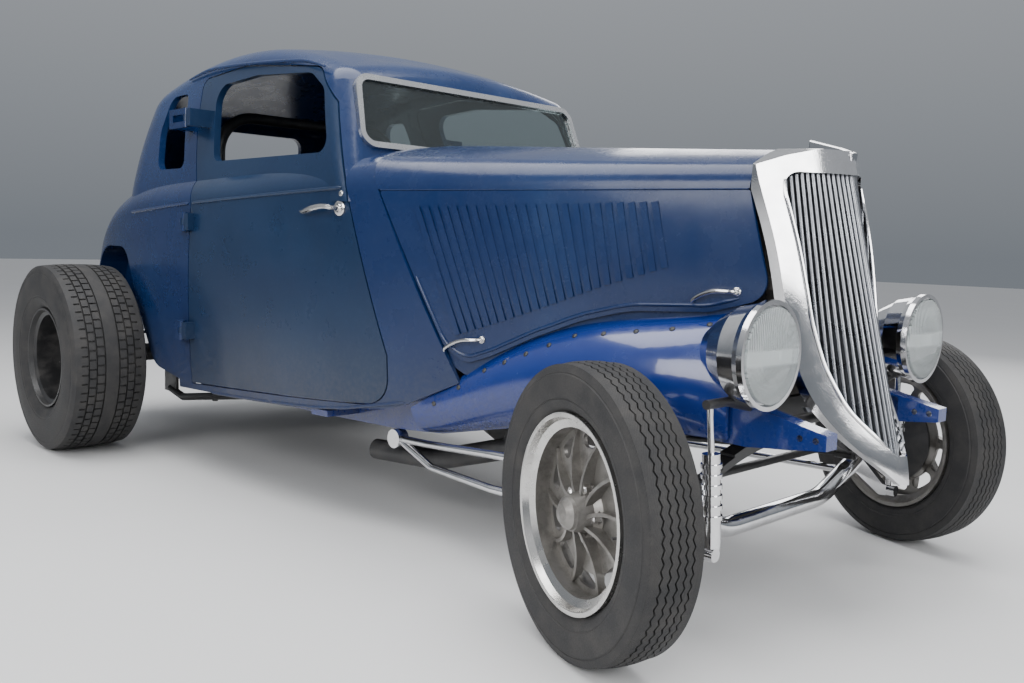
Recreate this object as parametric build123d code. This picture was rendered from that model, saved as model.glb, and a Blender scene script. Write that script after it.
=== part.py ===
"""Hot rod coupe of the early thirties, stripped of its fenders, with a dropped tube axle.

Frame of the working model: X forward, Y to the car's left, Z up, millimetres, with x = 0 over the
front axle, y = 0 on the centre line and z = 0 on the ground. Every piece is moved forward by
SHIFT_X as it is written, so that the origin lies under the middle of the car.
The front wheels are stored as they are parked, turned to the car's right.
"""
from build123d import *
from math import atan2, cos, degrees, hypot, radians, sin, sqrt
import os

# Overall stance
WHEELBASE = 2845.0
NOSE_X = 364.0          # front of the grille shell's chin
TAIL_X = -3500.0        # back of the tail
SHIFT_X = -(NOSE_X + TAIL_X) / 2
PANEL_GAP = 5.0         # shut line between a body panel and its opening
SEAT = 0.3              # running clearance of pieces that rest by each other

# Front wheels and tyres
FRONT_TYRE_R = 332.0
FRONT_TYRE_W = 142.0
FRONT_RIM_R = 221.0
FRONT_RIM_W = 128.0
FRONT_TRACK_HALF = 740.0
KINGPIN_Y = 662.0
STEER_REST = -18.0      # turned to the car's right, degrees
SPINDLE_R = 20.0
FRONT_DRUM_R = 138.0
SPOKES = 10

# Rear wheels and tyres
REAR_TYRE_R = 388.0
REAR_TYRE_W = 300.0
REAR_RIM_R = 205.0
REAR_RIM_W = 262.0
REAR_TRACK_HALF = 831.0
REAR_SHAFT_R = 22.0
REAR_DRUM_R = 145.0
REAR_DRUM_LEN = 62.0
REAR_DISC_INSET = 58.0  # the disc's mounting face, in from the wheel's middle
REAR_DRUM_Y = REAR_TRACK_HALF - REAR_DISC_INSET - REAR_DRUM_LEN
DRUM_BORE_R = 40.0

# Front axle and its springing
AXLE_TUBE_R = 27.0
AXLE_DROP_Z = 205.0
SPINDLE_Z = FRONT_TYRE_R
KINGPIN_R = 11.0
BOSS_R = 25.0
BOSS_H = 84.0
SPRING_LEAVES = 7
SPRING_W = 45.0
SPRING_T = 7.0
SPRING_EYE = (398.0, 312.0)
PERCH_EYE = (446.0, 352.0)
SHACKLE_PIN_R = 7.0
HAIRPIN_Y = 500.0
HAIRPIN_R = 12.0
HAIRPIN_PIVOT = (-1113.0, 440.0, 276.0)
SHOCK_BOTTOM = (118.0, 470.0, 232.0)
SHOCK_TOP = (106.0, 486.0, 585.0)
SHOCK_R = 21.0
SHOCK_RINGS = 6
COIL_AT = (-2937.0, 330.0)
STEER_ARM = 150.0
TIE_ROD_R = 12.5
TIE_ROD_Z = 292.0
ARM_Z = 270.0
PITMAN_AT = (-190.0, -212.0)
PITMAN_Z = 408.0
DRAG_LOW_Z = 247.0
DRAG_HIGH_Z = 386.0
DRAG_R = 8.0

# Exhaust pipes: from the engine's side down and out to a mouth by the rail
EXHAUST_R = 34.0
EXHAUST_WALL = 4.0
EXHAUST_BEND = 45.0
EXHAUST_BORE_LEN = 84.0
ENGINE_HALF_W = 205.0
EXHAUST_ROUTE = ((-700.0, ENGINE_HALF_W + SEAT, 420.0), (-700.0, 268.0, 420.0), (-740.0, 285.0, 290.0),
                 (-1000.0, 366.0, 216.0), (-1283.0, 400.0, 206.0))

# Frame
RAIL_W = 50.0
RAIL_SHEET = 6.0
BUMPER_HOLE_R = 8.0
BUMPER_HOLE_X = (246.0, 286.0)
BUMPER_HOLE_Z = 490.0

BODY_MOUNT_X = (-1350.0, -2080.0)
PIVOT_AT = (-2030.0, 327.0)     # crossmember that carries the ladder bars: x, z
SPRING_TOP_Z = 455.0
GEARBOX_Z = 395.0
GEARBOX_REST_Z = 278.5
GEARBOX_LEN = 600.0
ENGINE_X = (-1000.0, -370.0)
ENGINE_Z = (330.0, 900.0)

# Body
BODY_WALL = 26.0
SCREEN_LOW = (-1217.0, 530.0, 1205.0)
SCREEN_HIGH = (-1299.0, 505.0, 1446.0)
ROOF_Z = 1640.0
ROOF_PEAK_X = -2050.0
ROOF_R_LONG = 2100.0
ROOF_R_CROSS = 2900.0
ROOF_EDGE_R = 95.0
CAB_FOOT_Z = 1030.0     # level where the cab's upper part stands on the lower body
BODY_SPLIT_X = -1600.0  # seam in the sills between the cowl and the quarter panels

# Hood
HOOD_WALL = 8.0
HOOD_BELT_Z = 1066.0
HOOD_HINGE_R = 4.0      # the long hinge rods along the hood's joints
HOOD_FRONT_X = 30.0
HOOD_CROWN = ((160.0, 1170.0), (-1120.0, 1244.0))
HOOD_REAR_BELT = (-1059.0, 1062.0)
HOOD_REAR_LOW = (-838.0, 600.0)
APRON_TUCK = HOOD_WALL + 9.0    # how far the aprons' upper edges lie inside the hood's skin
APRON_SHEET = 8.0
LOUVERS = 24
LOUVER_TOPS = ((-921.0, 1013.0), (-206.0, 1032.0))      # x and z of the first and the last
LOUVER_FEET = ((-789.0, 643.0), (-649.0, 691.0), (-497.0, 748.0), (-351.0, 805.0), (-173.0, 863.0))
LOUVER_RISE = 10.0
LOUVER_HALF_W = 10.5
LOUVER_ROOT = 4.5       # how deep a louver's foot stands in the panel
LOUVER_RAMP = 16.0      # length of the slope at each of its ends
LOUVER_END = 0.12       # share of the rise left at its very end

# Grille shell and bars
SHELL_WALL = 12.0
BARS_PER_SIDE = 14
BAR_R = 5.5
BAR_DEPTH = 16.0
BAR_SETBACK = 2.0
BAR_TOP_GAP = 13.0
BAR_FOOT_SETBACK = 10.0
GRILLE_BULGE = 14.0
GRILLE_RAILS = (520.0, 700.0, 890.0, 1080.0)
SHELL_TOP_TILT = radians(10.0)

# Cabin
FLOOR_Z = 439.6
FLOOR_FRONT_X = -1130.0
FLOOR_BACK_X = -2362.0
DOOR_CLEAR = 6.0        # room between the doors and what is fixed beside them
ROLL_BAR_AT = (-2332.0, 440.0)
COLUMN_R = 20.0
WHEEL_AT = (-1640.0, -320.0, 980.0)
WHEEL_LEAN = (-1.0, 0.0, 0.62)

# Lamps
LAMP_POS = (209.0, 406.0, 681.0)
LAMP_R = 126.0
LAMP_DEPTH = 188.0

# Door hinges and deck lid
HINGE_X = -2160.0
HINGE_LOW = (684.0, 549.0)
HINGE_HIGH = (662.0, 1350.0)
HINGE_LEVELS = (549.0, 961.0, 1350.0)
HINGE_R = 10.0
HINGE_PIN_R = 5.0
HINGE_PIN_FIT = 0.05
HINGE_LEN = 72.0
LID_FRONT_X = -3030.0
LID_BACK_X = -3440.0
LID_HALF_W = 420.0
LID_TAPER = 0.86        # how much of its front width the lid keeps at its rear edge
LID_CORNER_R = 60.0
LID_HINGE_AT = (-3028.0, 1060.0)
LID_HINGE_Y = 220.0


def write(node, *solids):
    """Write one sub-part, moved into the shared frame."""
    placed = [Pos(SHIFT_X, 0, 0) * solid for group in solids for solid in group.solids()]
    shape = placed[0] if len(placed) == 1 else Compound(children=placed)
    export_step(shape, "parts/" + node + ".step")


def fused(*solids):
    """All the given solids joined in one operation."""
    return solids[0].fuse(*solids[1:])


def rod(start, end, radius):
    """A round bar between two points."""
    a = Vector(*start)
    b = Vector(*end)
    run = b - a
    bar = Cylinder(radius, run.length, align=(Align.CENTER, Align.CENTER, Align.MIN))
    return Plane(origin=a, z_dir=run) * bar


def bent_rod(points, bend, radius):
    """A round bar along straight runs that are joined by arcs."""
    path = FilletPolyline(*points, radius=bend)
    start = path @ 0
    section = Plane(origin=start, z_dir=path % 0) * Circle(radius)
    return sweep(section, path=path)


def box(low, high):
    """A box between two corners."""
    size = [h - l for l, h in zip(low, high)]
    return Pos(*low) * Box(*size, align=(Align.MIN, Align.MIN, Align.MIN))


def side_prism(points, y_low, y_high):
    """A prism across the car whose outline is given in X and Z."""
    face = make_face(Polyline(*[(x, z) for x, z in points], close=True))
    return Plane(origin=(0, y_high, 0), x_dir=(1, 0, 0), z_dir=(0, -1, 0)) * extrude(face, y_high - y_low)


def plan_prism(points, z_low, z_high):
    """A prism upright on its outline in X and Y."""
    face = make_face(Polyline(*points, close=True))
    return Pos(0, 0, z_low) * extrude(face, z_high - z_low)


def both(solid):
    """A solid and its mirror image on the other side of the car."""
    return [solid, mirror(solid, about=Plane.XZ)]


def lathe(points, axis_at, direction):
    """A turned piece: points are (along, radius) from axis_at toward direction."""
    face = make_face(Polyline(*points, close=True))
    turned = revolve(face, axis=Axis.X)
    return Plane(origin=axis_at, x_dir=direction, z_dir=across(direction)) * turned


def across(direction):
    """Any direction square to the given one."""
    d = Vector(*direction)
    pick = Vector(0, 0, 1) if abs(d.Z) < 0.9 else Vector(1, 0, 0)
    return d.cross(pick)


def hood_top_z(x):
    """Height of the hood's crown on the centre line, which is straight for its long hinge."""
    (x0, z0), (x1, z1) = HOOD_CROWN
    return z0 + (x - x0) * (z1 - z0) / (x1 - x0)


# Body sections: x, belt half-width, belt z, shoulder radius, top z, middle half-width,
# bottom half-width, bottom z
HOOD_SECTIONS = (
    (160.0, 211.0, HOOD_BELT_Z, 70.0, hood_top_z(160.0), 206.0, 160.0, 500.0),
    (-300.0, 347.3, HOOD_BELT_Z, 80.0, hood_top_z(-300.0), 339.0, 285.0, 480.0),
    (-700.0, 465.7, HOOD_BELT_Z, 95.0, hood_top_z(-700.0), 453.0, 420.0, 420.0),
    (-1120.0, 590.1, HOOD_BELT_Z, 112.0, hood_top_z(-1120.0), 586.0, 560.0, 340.0),
)
TUB_SECTIONS = (
    (-640.0, 448.0, 1066.0, 92.0, 1223.0, 436.0, 402.0, 400.0),
    (-1060.0, 572.4, 1066.0, 110.0, 1242.0, 566.0, 540.0, 350.0),
    (-1300.0, 612.0, 1060.0, 114.0, 1247.0, 612.0, 592.0, 340.0),
    (-1800.0, 645.0, 1044.0, 120.0, 1230.0, 650.0, 632.0, 318.0),
    (-2500.0, 654.0, 1020.0, 120.0, 1170.0, 660.0, 640.0, 320.0),
    (-3000.0, 628.0, 925.0, 110.0, 1064.0, 632.0, 606.0, 345.0),
    (-3300.0, 556.0, 720.0, 120.0, 890.0, 568.0, 548.0, 372.0),
    (-3500.0, 440.0, 520.0, 60.0, 604.0, 452.0, 446.0, 420.0),
)
# Plan sections of the cab above the belt: z, front x, back x, half-width at the front,
# half-width at the back, front corner radius, back corner radius
CAB_SECTIONS = (
    (1010.0, -1140.0, -2990.0, 606.0, 640.0, 60.0, 290.0),
    (1200.0, -1216.0, -2962.0, 596.0, 612.0, 75.0, 290.0),
    (1450.0, -1302.0, -2890.0, 546.0, 556.0, 90.0, 290.0),
    (1700.0, -1392.0, -2760.0, 470.0, 476.0, 90.0, 260.0),
)


def tub_wire(x, belt, belt_z, r, top_z, middle, low, low_z, inset=0.0, drop=0.0):
    """One closed body section: flat bottom, curved sides, rounded shoulders and a crowned top."""
    belt, middle, low = belt - inset, middle - inset, low - inset
    top_z, r, low_z = top_z - inset, r - inset * 0.5, low_z - drop
    a = belt - r
    b = top_z - belt_z
    crown = (a * a + b * b - r * r) / (2 * (b - r))
    away = hypot(a, belt_z - (top_z - crown))
    ty = a + r * a / away
    tz = belt_z + r * (belt_z - (top_z - crown)) / away
    mid_z = (belt_z + low_z) / 2
    turn = atan2(tz - belt_z, ty - a) / 2
    ky, kz = a + r * cos(turn), belt_z + r * sin(turn)
    with BuildSketch(Plane(origin=(x, 0, 0), x_dir=(0, 1, 0), z_dir=(1, 0, 0))) as sketch:
        with BuildLine():
            Line((-low, low_z), (low, low_z))
            ThreePointArc((low, low_z), (middle, mid_z), (belt, belt_z))
            ThreePointArc((belt, belt_z), (ky, kz), (ty, tz))
            ThreePointArc((ty, tz), (0, top_z), (-ty, tz))
            ThreePointArc((-ty, tz), (-ky, kz), (-belt, belt_z))
            ThreePointArc((-belt, belt_z), (-middle, mid_z), (-low, low_z))
        make_face()
    return sketch.sketch


def body_loft(sections, inset=0.0, drop=0.0):
    """A loft along the car through its cross-sections, all set in by one wall."""
    return loft([tub_wire(*row, inset=inset, drop=drop) for row in sections])


def cab_loft(inset=0.0):
    """The cab's upper part: a loft upward through rounded plan sections."""
    faces = []
    for z, front, back, w_front, w_back, r_front, r_back in CAB_SECTIONS:
        front_x, back_x = front - inset, back + inset
        wf, wb = w_front - inset, w_back - inset
        path = FilletPolyline(
            (front_x, -wf), (front_x, wf), (back_x, wb), (back_x, -wb),
            radius=[r_front - inset / 2, r_front - inset / 2, r_back - inset, r_back - inset], close=True)
        faces.append(Pos(0, 0, z) * make_face(path))
    return loft(faces)


def roof_crown(inset=0.0):
    """Everything under the crowned roof: an arc across the car turned about a far axis."""
    top = ROOF_Z - inset
    half = 900.0
    fall = ROOF_R_CROSS - sqrt(ROOF_R_CROSS ** 2 - half ** 2)
    axis_z = top - ROOF_R_LONG
    with BuildSketch(Plane.YZ) as sketch:
        with BuildLine():
            ThreePointArc((-half, top - fall), (0, top), (half, top - fall))
            Line((half, top - fall), (half, axis_z))
            Line((half, axis_z), (-half, axis_z))
            Line((-half, axis_z), (-half, top - fall))
        make_face()
    face = sketch.sketch
    turned = revolve(face, axis=Axis((0, 0, axis_z), (0, 1, 0)), revolution_arc=360)
    return Pos(ROOF_PEAK_X, 0, 0) * turned


def cab_solid(inset=0.0):
    """The closed cab form above the belt, roof edges rounded."""
    solid = cab_loft(inset) & roof_crown(inset)
    edge_r = ROOF_EDGE_R - inset
    rim = solid.faces().sort_by(Axis.Z)[-1].edges()
    return fillet(rim, edge_r)


def hood_rear_x(z):
    """The slanting joint between hood and cowl."""
    (x0, z0), (x1, z1) = HOOD_REAR_BELT, HOOD_REAR_LOW
    return x0 + (z0 - z) * (x1 - x0) / (z0 - z1)


def behind_hood(gap=0.0):
    """Everything behind the slanted hood joint."""
    high, low = 1300.0, 200.0
    points = [(hood_rear_x(high) - gap, high), (hood_rear_x(low) - gap, low), (-4000.0, low), (-4000.0, high)]
    return side_prism(points, -900, 900)


# The side outline of the door, from its lower front corner round to the front of its window
DOOR_OUTLINE = (
    (-1030.0, 560.0), (-1034.0, 400.0), (-1300.0, 386.0), (-2165.0, 340.0), (-2160.0, 700.0),
    (-2150.0, 1030.0), (-2242.0, 1360.0), (-2275.0, 1520.0), (-1950.0, 1540.0), (-1440.0, 1482.0),
    (-1303.0, 1351.0), (-1190.0, 1066.0),
)
DOOR_RADII = (20.0, 95.0, 20.0, 12.0, 20.0, 20.0, 20.0, 40.0, 300.0, 120.0, 20.0, 20.0)
DOOR_WINDOW = ((-1296.0, 1188.0), (-2052.0, 1188.0), (-2142.0, 1478.0), (-1850.0, 1492.0),
               (-1480.0, 1462.0), (-1380.0, 1400.0))
DOOR_WINDOW_RADII = (40.0, 40.0, 60.0, 200.0, 100.0, 60.0)
QUARTER_WINDOW = ((-2290.0, 1172.0), (-2525.0, 1172.0), (-2560.0, 1330.0), (-2520.0, 1470.0),
                  (-2378.0, 1472.0))
QUARTER_RADII = (30.0, 50.0, 90.0, 60.0, 30.0)
BACK_WINDOW = ((-300.0, 1205.0), (300.0, 1205.0), (280.0, 1400.0), (-280.0, 1400.0))     # y and z
BACK_WINDOW_R = 60.0
ARCH = ((-2270.0, 200.0), (-2270.0, 346.0), (-2500.0, 380.0), (-2620.0, 600.0), (-2760.0, 856.0),
        (-3060.0, 856.0), (-3190.0, 560.0), (-3260.0, 300.0), (-3260.0, 200.0))
ARCH_RADII = (5.0, 5.0, 110.0, 300.0, 110.0, 130.0, 200.0, 30.0, 5.0)


def outline_prism(points, radii, y_low, y_high, grow=0.0):
    """A prism across the car from a closed side outline with its own corner radii."""
    path = FilletPolyline(*points, radius=list(radii), close=True)
    face = make_face(path)
    if grow:
        face = offset(face, amount=grow)
    return Plane(origin=(0, y_high, 0), x_dir=(1, 0, 0), z_dir=(0, -1, 0)) * extrude(face, y_high - y_low)


def rear_lid_prism(grow=0.0):
    """The deck lid's opening, seen from above and from behind."""
    front, back = LID_FRONT_X + grow, LID_BACK_X - grow
    wide, narrow = LID_HALF_W + grow, LID_HALF_W * LID_TAPER + grow
    path = FilletPolyline((front, -wide), (front, wide), (back, narrow), (back, -narrow), radius=LID_CORNER_R,
                          close=True)
    return Pos(0, 0, 640.0) * extrude(make_face(path), 700.0)


def sill_cut(grow=0.0):
    """What lies under the body's lower edge, which sweeps up toward the hood."""
    edge = ((-600.0, 640.0), (-760.0, 512.0), (-1010.0, 396.0), (-1500.0, 342.0), (-2600.0, 302.0),
            (-3600.0, 302.0), (-3600.0, 100.0), (-600.0, 100.0))
    return outline_prism(edge, (5.0, 260.0, 420.0, 900.0, 300.0, 5.0, 5.0, 5.0), -900.0, 900.0, grow=grow)


def wheel_well():
    """The inner wheel house, which closes the arch from inside."""
    reach = outline_prism(ARCH, ARCH_RADII, 500.0, 632.0, grow=8.0)
    void = outline_prism(ARCH, ARCH_RADII, 508.0, 700.0)
    keep = box((-3400, 400, 560), (-2400, 700, 1200))
    return (reach - void) & keep


def belt_up(z):
    """Everything above one level."""
    return box((-4000, -900, z), (400, 900, 2000))


def build_body():
    """The hollow body: cab, cowl and tail, with the doors and the lid cut from the same walls."""
    door_cut = outline_prism(DOOR_OUTLINE, DOOR_RADII, 300.0, 900.0)
    door_keep = outline_prism(DOOR_OUTLINE, DOOR_RADII, 300.0, 900.0, grow=-PANEL_GAP)
    door_window = outline_prism(DOOR_WINDOW, DOOR_WINDOW_RADII, 300.0, 900.0)
    quarter = outline_prism(QUARTER_WINDOW, QUARTER_RADII, 300.0, 900.0)
    arch = outline_prism(ARCH, ARCH_RADII, 508.0, 900.0)
    cab_outer = cab_solid() & belt_up(CAB_FOOT_Z)
    cab_inner = cab_solid(BODY_WALL)
    cab_wall = cab_outer - cab_inner
    tub_outer = body_loft(TUB_SECTIONS)
    tub = (tub_outer & behind_hood()).cut(sill_cut(), cab_outer)
    inner = body_loft(TUB_SECTIONS, inset=BODY_WALL, drop=300.0) & box((-3460, -800, 0), (-560, 800, 2000))
    tub_wall = tub - inner
    door = fused((tub_outer & door_keep) - sill_cut(), cab_outer & door_keep)
    door = door.cut(inner, cab_inner, door_window)
    lid = tub_wall & rear_lid_prism()
    cab = cab_wall.cut(*both(door_cut), *both(quarter), screen_hole(), back_window_hole())
    tub_open = tub_wall.cut(*both(door_cut), rear_lid_prism(PANEL_GAP))
    cowl = (tub_open & box((BODY_SPLIT_X, -900, 0), (0, 900, 2000))) - screen_hole()
    tail = tub_open & box((-4000, -900, 0), (BODY_SPLIT_X, 900, 2000))
    tail = fused(tail, *both(wheel_well())).cut(*both(arch))
    return cab, cowl, tail, door, lid


def screen_plane():
    """The plane of the windscreen, leaning back, with its origin at the middle of the glass."""
    x0, y0, z0 = SCREEN_LOW
    x1, y1, z1 = SCREEN_HIGH
    up = Vector(x1 - x0, 0, z1 - z0).normalized()
    return Plane(origin=((x0 + x1) / 2, 0, (z0 + z1) / 2), x_dir=(0, 1, 0), z_dir=Vector(0, 1, 0).cross(up))


def screen_outline(grow=0.0):
    """The windscreen's rounded outline in its own plane."""
    high = hypot(SCREEN_HIGH[0] - SCREEN_LOW[0], SCREEN_HIGH[2] - SCREEN_LOW[2]) / 2 + grow
    low_w = SCREEN_LOW[1] + grow
    high_w = SCREEN_HIGH[1] + grow
    path = FilletPolyline((-low_w, -high), (low_w, -high), (high_w, high), (-high_w, high),
                          radius=55.0 + grow, close=True)
    return make_face(path)


def screen_hole():
    """The opening for the windscreen and its frame."""
    return screen_plane() * (Pos(0, 0, -120) * extrude(screen_outline(SEAT), 300))


def back_window_hole():
    """The opening of the small rear window."""
    path = FilletPolyline(*BACK_WINDOW, radius=BACK_WINDOW_R, close=True)
    ahead_of_wall = Plane(origin=(-2780, 0, 0), x_dir=(0, 1, 0), z_dir=(1, 0, 0))
    return ahead_of_wall * (Pos(0, 0, -400) * extrude(make_face(path), 400))


def build_windscreen():
    """A flat pane in a bright frame."""
    ring = extrude(screen_outline(0.0), 26) - Pos(0, 0, -1) * extrude(screen_outline(-20.0), 40)
    slot = Pos(0, 0, 9) * extrude(screen_outline(-12.0), 8)
    pane = Pos(0, 0, 10) * extrude(screen_outline(-12.0 - SEAT), 6)
    seat = screen_plane() * Pos(0, 0, -14)
    return seat * (ring - slot), seat * pane


def hinge_y(z):
    """Where the door's hinge axis stands off the centre line at one level."""
    (y0, z0), (y1, z1) = HINGE_LOW, HINGE_HIGH
    return y0 + (z - z0) * (y1 - y0) / (z1 - z0)


def door_hinges(skin):
    """The fixed and the moving halves of the left door's hinges; skin gives y of the panel by level."""
    fixed, moving = [], []
    tilt = Vector(0, HINGE_HIGH[0] - HINGE_LOW[0], HINGE_HIGH[1] - HINGE_LOW[1]).normalized()
    for z in HINGE_LEVELS:
        y = hinge_y(z)
        at = Vector(HINGE_X, y, z)
        third = HINGE_LEN / 3
        ends = [at + tilt * along for along in (-HINGE_LEN / 2, -third / 2, third / 2, HINGE_LEN / 2)]
        low_barrel = rod(ends[0], ends[1] - tilt * SEAT, HINGE_R)
        high_barrel = rod(ends[2] + tilt * SEAT, ends[3], HINGE_R)
        pin = rod(ends[0], ends[3], HINGE_PIN_R)
        post_back = -2262.0 if z > CAB_FOOT_Z else HINGE_X - 16.0
        inner_y = skin(z) - 12.0
        post = box((post_back - 30, inner_y, z - HINGE_LEN / 2), (post_back, y + 6, z + HINGE_LEN / 2))
        strap_low = box((post_back - 4, y - 6, z - HINGE_LEN / 2), (HINGE_X, y + 6, z - third / 2 - 1))
        strap_high = box((post_back - 4, y - 6, z + third / 2 + 1), (HINGE_X, y + 6, z + HINGE_LEN / 2))
        fixed.append(fused(low_barrel, high_barrel, pin, post, strap_low, strap_high))
        barrel = rod(ends[1] + tilt * SEAT, ends[2] - tilt * SEAT, HINGE_R)
        leaf = box((HINGE_X, y - 6, z - third / 2 + 1), (HINGE_X + 20, y + 6, z + third / 2 - 1))
        pad_half = HINGE_LEN / 2 - 4
        pad = box((HINGE_X + 14, inner_y, z - pad_half), (HINGE_X + 44, y + 6, z + pad_half))
        bore = rod(ends[0], ends[3], HINGE_PIN_R + HINGE_PIN_FIT)
        moving.append(fused(barrel, leaf, pad) - bore)
    return fixed, moving


def lid_hinges():
    """The fixed and the moving halves of the deck lid's two strap hinges."""
    fixed, moving = [], []
    x, z = LID_HINGE_AT
    for y in (-LID_HINGE_Y, LID_HINGE_Y):
        pieces = [rod((x, y - 30, z), (x, y + 30, z), HINGE_PIN_R)]
        for low, high in ((y - 30, y - 11), (y + 11, y + 30)):
            pieces.append(rod((x, low, z), (x, high, z), HINGE_R - 2))
            pieces.append(box((x, low, z - 24), (x + 40, high, z + 5)))
        fixed.append(fused(*pieces))
        barrel = rod((x, y - 11 + SEAT, z), (x, y + 11 - SEAT, z), HINGE_R - 2)
        strap = box((x - 46, y - 11 + SEAT, z - 30), (x - 2, y + 11 - SEAT, z + 4))
        bore = rod((x, y - 40, z), (x, y + 40, z), HINGE_PIN_R + HINGE_PIN_FIT)
        moving.append(fused(barrel, strap) - bore)
    return fixed, moving


def skin_y(z):
    """Half-width of the body's skin by the doors' rear edges."""
    return 655.0 if z < CAB_FOOT_Z else 576.0


# Hood
HOOD_SIDE_TOP_Z = HOOD_BELT_Z - HOOD_HINGE_R - SEAT
HOOD_SIDE_OUTLINE = (
    (HOOD_FRONT_X, HOOD_SIDE_TOP_Z), (-1054.0, HOOD_SIDE_TOP_Z), (-834.0, 600.0), (-766.0, 560.0),
    (-690.0, 587.0), (-546.0, 655.0), (-406.0, 711.0), (-270.0, 747.0), (-60.0, 756.0), (92.0, 800.0),
)
HOOD_SIDE_RADII = (6.0, 6.0, 60.0, 50.0, 120.0, 400.0, 400.0, 400.0, 120.0, 60.0)


def hood_flare():
    """How much the hood widens for each millimetre toward the rear."""
    front, back = HOOD_SECTIONS[0], HOOD_SECTIONS[-1]
    return (back[1] - front[1]) / (front[0] - back[0])


def hood_half(x):
    """Half-width of the hood along its straight side hinge."""
    return HOOD_SECTIONS[0][1] + (HOOD_SECTIONS[0][0] - x) * hood_flare()


def hood_front_x(z):
    """Front edge of the hood's top panels, square to the hinge that they turn about."""
    (x0, z0), (x1, z1) = HOOD_CROWN
    return HOOD_FRONT_X - 2.0 - (z - HOOD_BELT_Z) * (z1 - z0) / (x1 - x0)


def hood_skin(x, z):
    """Half-width of the hood's side panel at one place along it and one level."""
    pairs = zip(HOOD_SECTIONS, HOOD_SECTIONS[1:])
    fore, aft = next(pair for pair in pairs if x >= pair[1][0])
    share = (x - fore[0]) / (aft[0] - fore[0])
    belt, middle, low, low_z = [fore[i] + share * (aft[i] - fore[i]) for i in (1, 5, 6, 7)]
    mid_z = (HOOD_BELT_Z + low_z) / 2
    t = (z - mid_z) / (HOOD_BELT_Z - mid_z)
    return middle + t * (belt - low) / 2 + t * t * (belt + low - 2 * middle) / 2


def louver_end(rows, share):
    """A point along the line that the louvers' ends follow."""
    along = share * (len(rows) - 1)
    index = min(int(along), len(rows) - 2)
    (x0, z0), (x1, z1) = rows[index], rows[index + 1]
    x = x0 + (along - index) * (x1 - x0)
    z = z0 + (along - index) * (z1 - z0)
    return Vector(x, hood_skin(x, z), z)


def louver_face(plane, scale):
    """One section of a louver: a swell toward the front, a lip and a step toward the rear."""
    w, rise, root = LOUVER_HALF_W, LOUVER_RISE * scale, LOUVER_ROOT
    with BuildSketch(plane) as sketch:
        with BuildLine():
            ThreePointArc((w, -root), (w * 0.30, rise * 0.66), (-w * 0.85, rise))
            Line((-w * 0.85, rise), (-w, rise * 0.80))
            Line((-w, rise * 0.80), (-w * 0.72, -root))
            Line((-w * 0.72, -root), (w, -root))
        make_face()
    return sketch.sketch


def louver(share):
    """One pressed louver, slanting down and forward, low at both ends."""
    low, high = louver_end(LOUVER_FEET, share), louver_end(LOUVER_TOPS, share)
    run = (high - low).normalized()
    ahead = Vector(1, -hood_flare(), 0)
    ahead = (ahead - run * ahead.dot(run)).normalized()
    length = (high - low).length
    faces = []
    for along, scale in ((0, LOUVER_END), (LOUVER_RAMP, 1), (length - LOUVER_RAMP, 1), (length, LOUVER_END)):
        faces.append(louver_face(Plane(origin=low + run * along, x_dir=ahead, z_dir=-run), scale))
    return loft(faces, ruled=True)


def hood_rod():
    """The long rod on the centre line that both hood tops turn about."""
    front, back = HOOD_FRONT_X - 20, hood_rear_x(1240.0) - 30
    return rod((front, 0, hood_top_z(front) - 1), (back, 0, hood_top_z(back) - 1), HOOD_HINGE_R)


def build_hood():
    """The four hood panels, a long rod on the centre line and one along each side joint."""
    wall = body_loft(HOOD_SECTIONS) - body_loft(HOOD_SECTIONS, inset=HOOD_WALL, drop=100.0)
    centre_gap = HOOD_HINGE_R + SEAT
    front, back = HOOD_FRONT_X, HOOD_REAR_BELT[0]
    top_points = [(hood_front_x(HOOD_BELT_Z), HOOD_BELT_Z), (hood_rear_x(HOOD_BELT_Z), HOOD_BELT_Z),
                  (hood_rear_x(1300.0), 1300.0), (hood_front_x(1300.0), 1300.0)]
    top = wall & side_prism(top_points, centre_gap, 700.0)
    inset = HOOD_HINGE_R
    joint = rod((front - 6, hood_half(front - 6) - inset, HOOD_BELT_Z),
                (back + 4, hood_half(back + 4) - inset, HOOD_BELT_Z), HOOD_HINGE_R)
    top = top + joint
    side = wall & outline_prism(HOOD_SIDE_OUTLINE, HOOD_SIDE_RADII, 100.0, 700.0)
    side = fused(side, *[louver(count / (LOUVERS - 1)) for count in range(LOUVERS)])
    for name, panel in (("top", top), ("side", side)):
        write("hood_" + name + "_left", panel)
        write("hood_" + name + "_right", mirror(panel, about=Plane.XZ))


# Grille shell plan sections: z, rear x, side x, centre x, half-width
SHELL_SECTIONS = (
    (354.0, 336.0, 350.0, NOSE_X, 22.0),
    (425.0, 272.0, 292.0, 354.0, 92.0),
    (554.0, 165.0, 192.0, 321.0, 174.0),
    (833.0, 92.0, 120.0, 250.0, 226.0),
    (1037.0, 42.0, 70.0, 198.0, 249.0),
    (1170.0, 8.0, 38.0, 164.0, 252.0),
)


def shell_plan(z, rear, side, centre, half, inset=0.0):
    """One level of the grille shell: a blunt V with its ridge on the centre line."""
    half, side, centre = half - inset, side - inset * 0.4, centre - inset
    bulge_x = (side + centre) / 2 + GRILLE_BULGE * half / 250.0
    with BuildSketch(Plane(origin=(0, 0, z), x_dir=(1, 0, 0), z_dir=(0, 0, 1))) as sketch:
        with BuildLine():
            Line((rear, -half), (side, -half))
            ThreePointArc((side, -half), (bulge_x, -half / 2), (centre, 0))
            ThreePointArc((centre, 0), (bulge_x, half / 2), (side, half))
            Line((side, half), (rear, half))
            Line((rear, half), (rear, -half))
        make_face()
    return sketch.sketch


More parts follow.
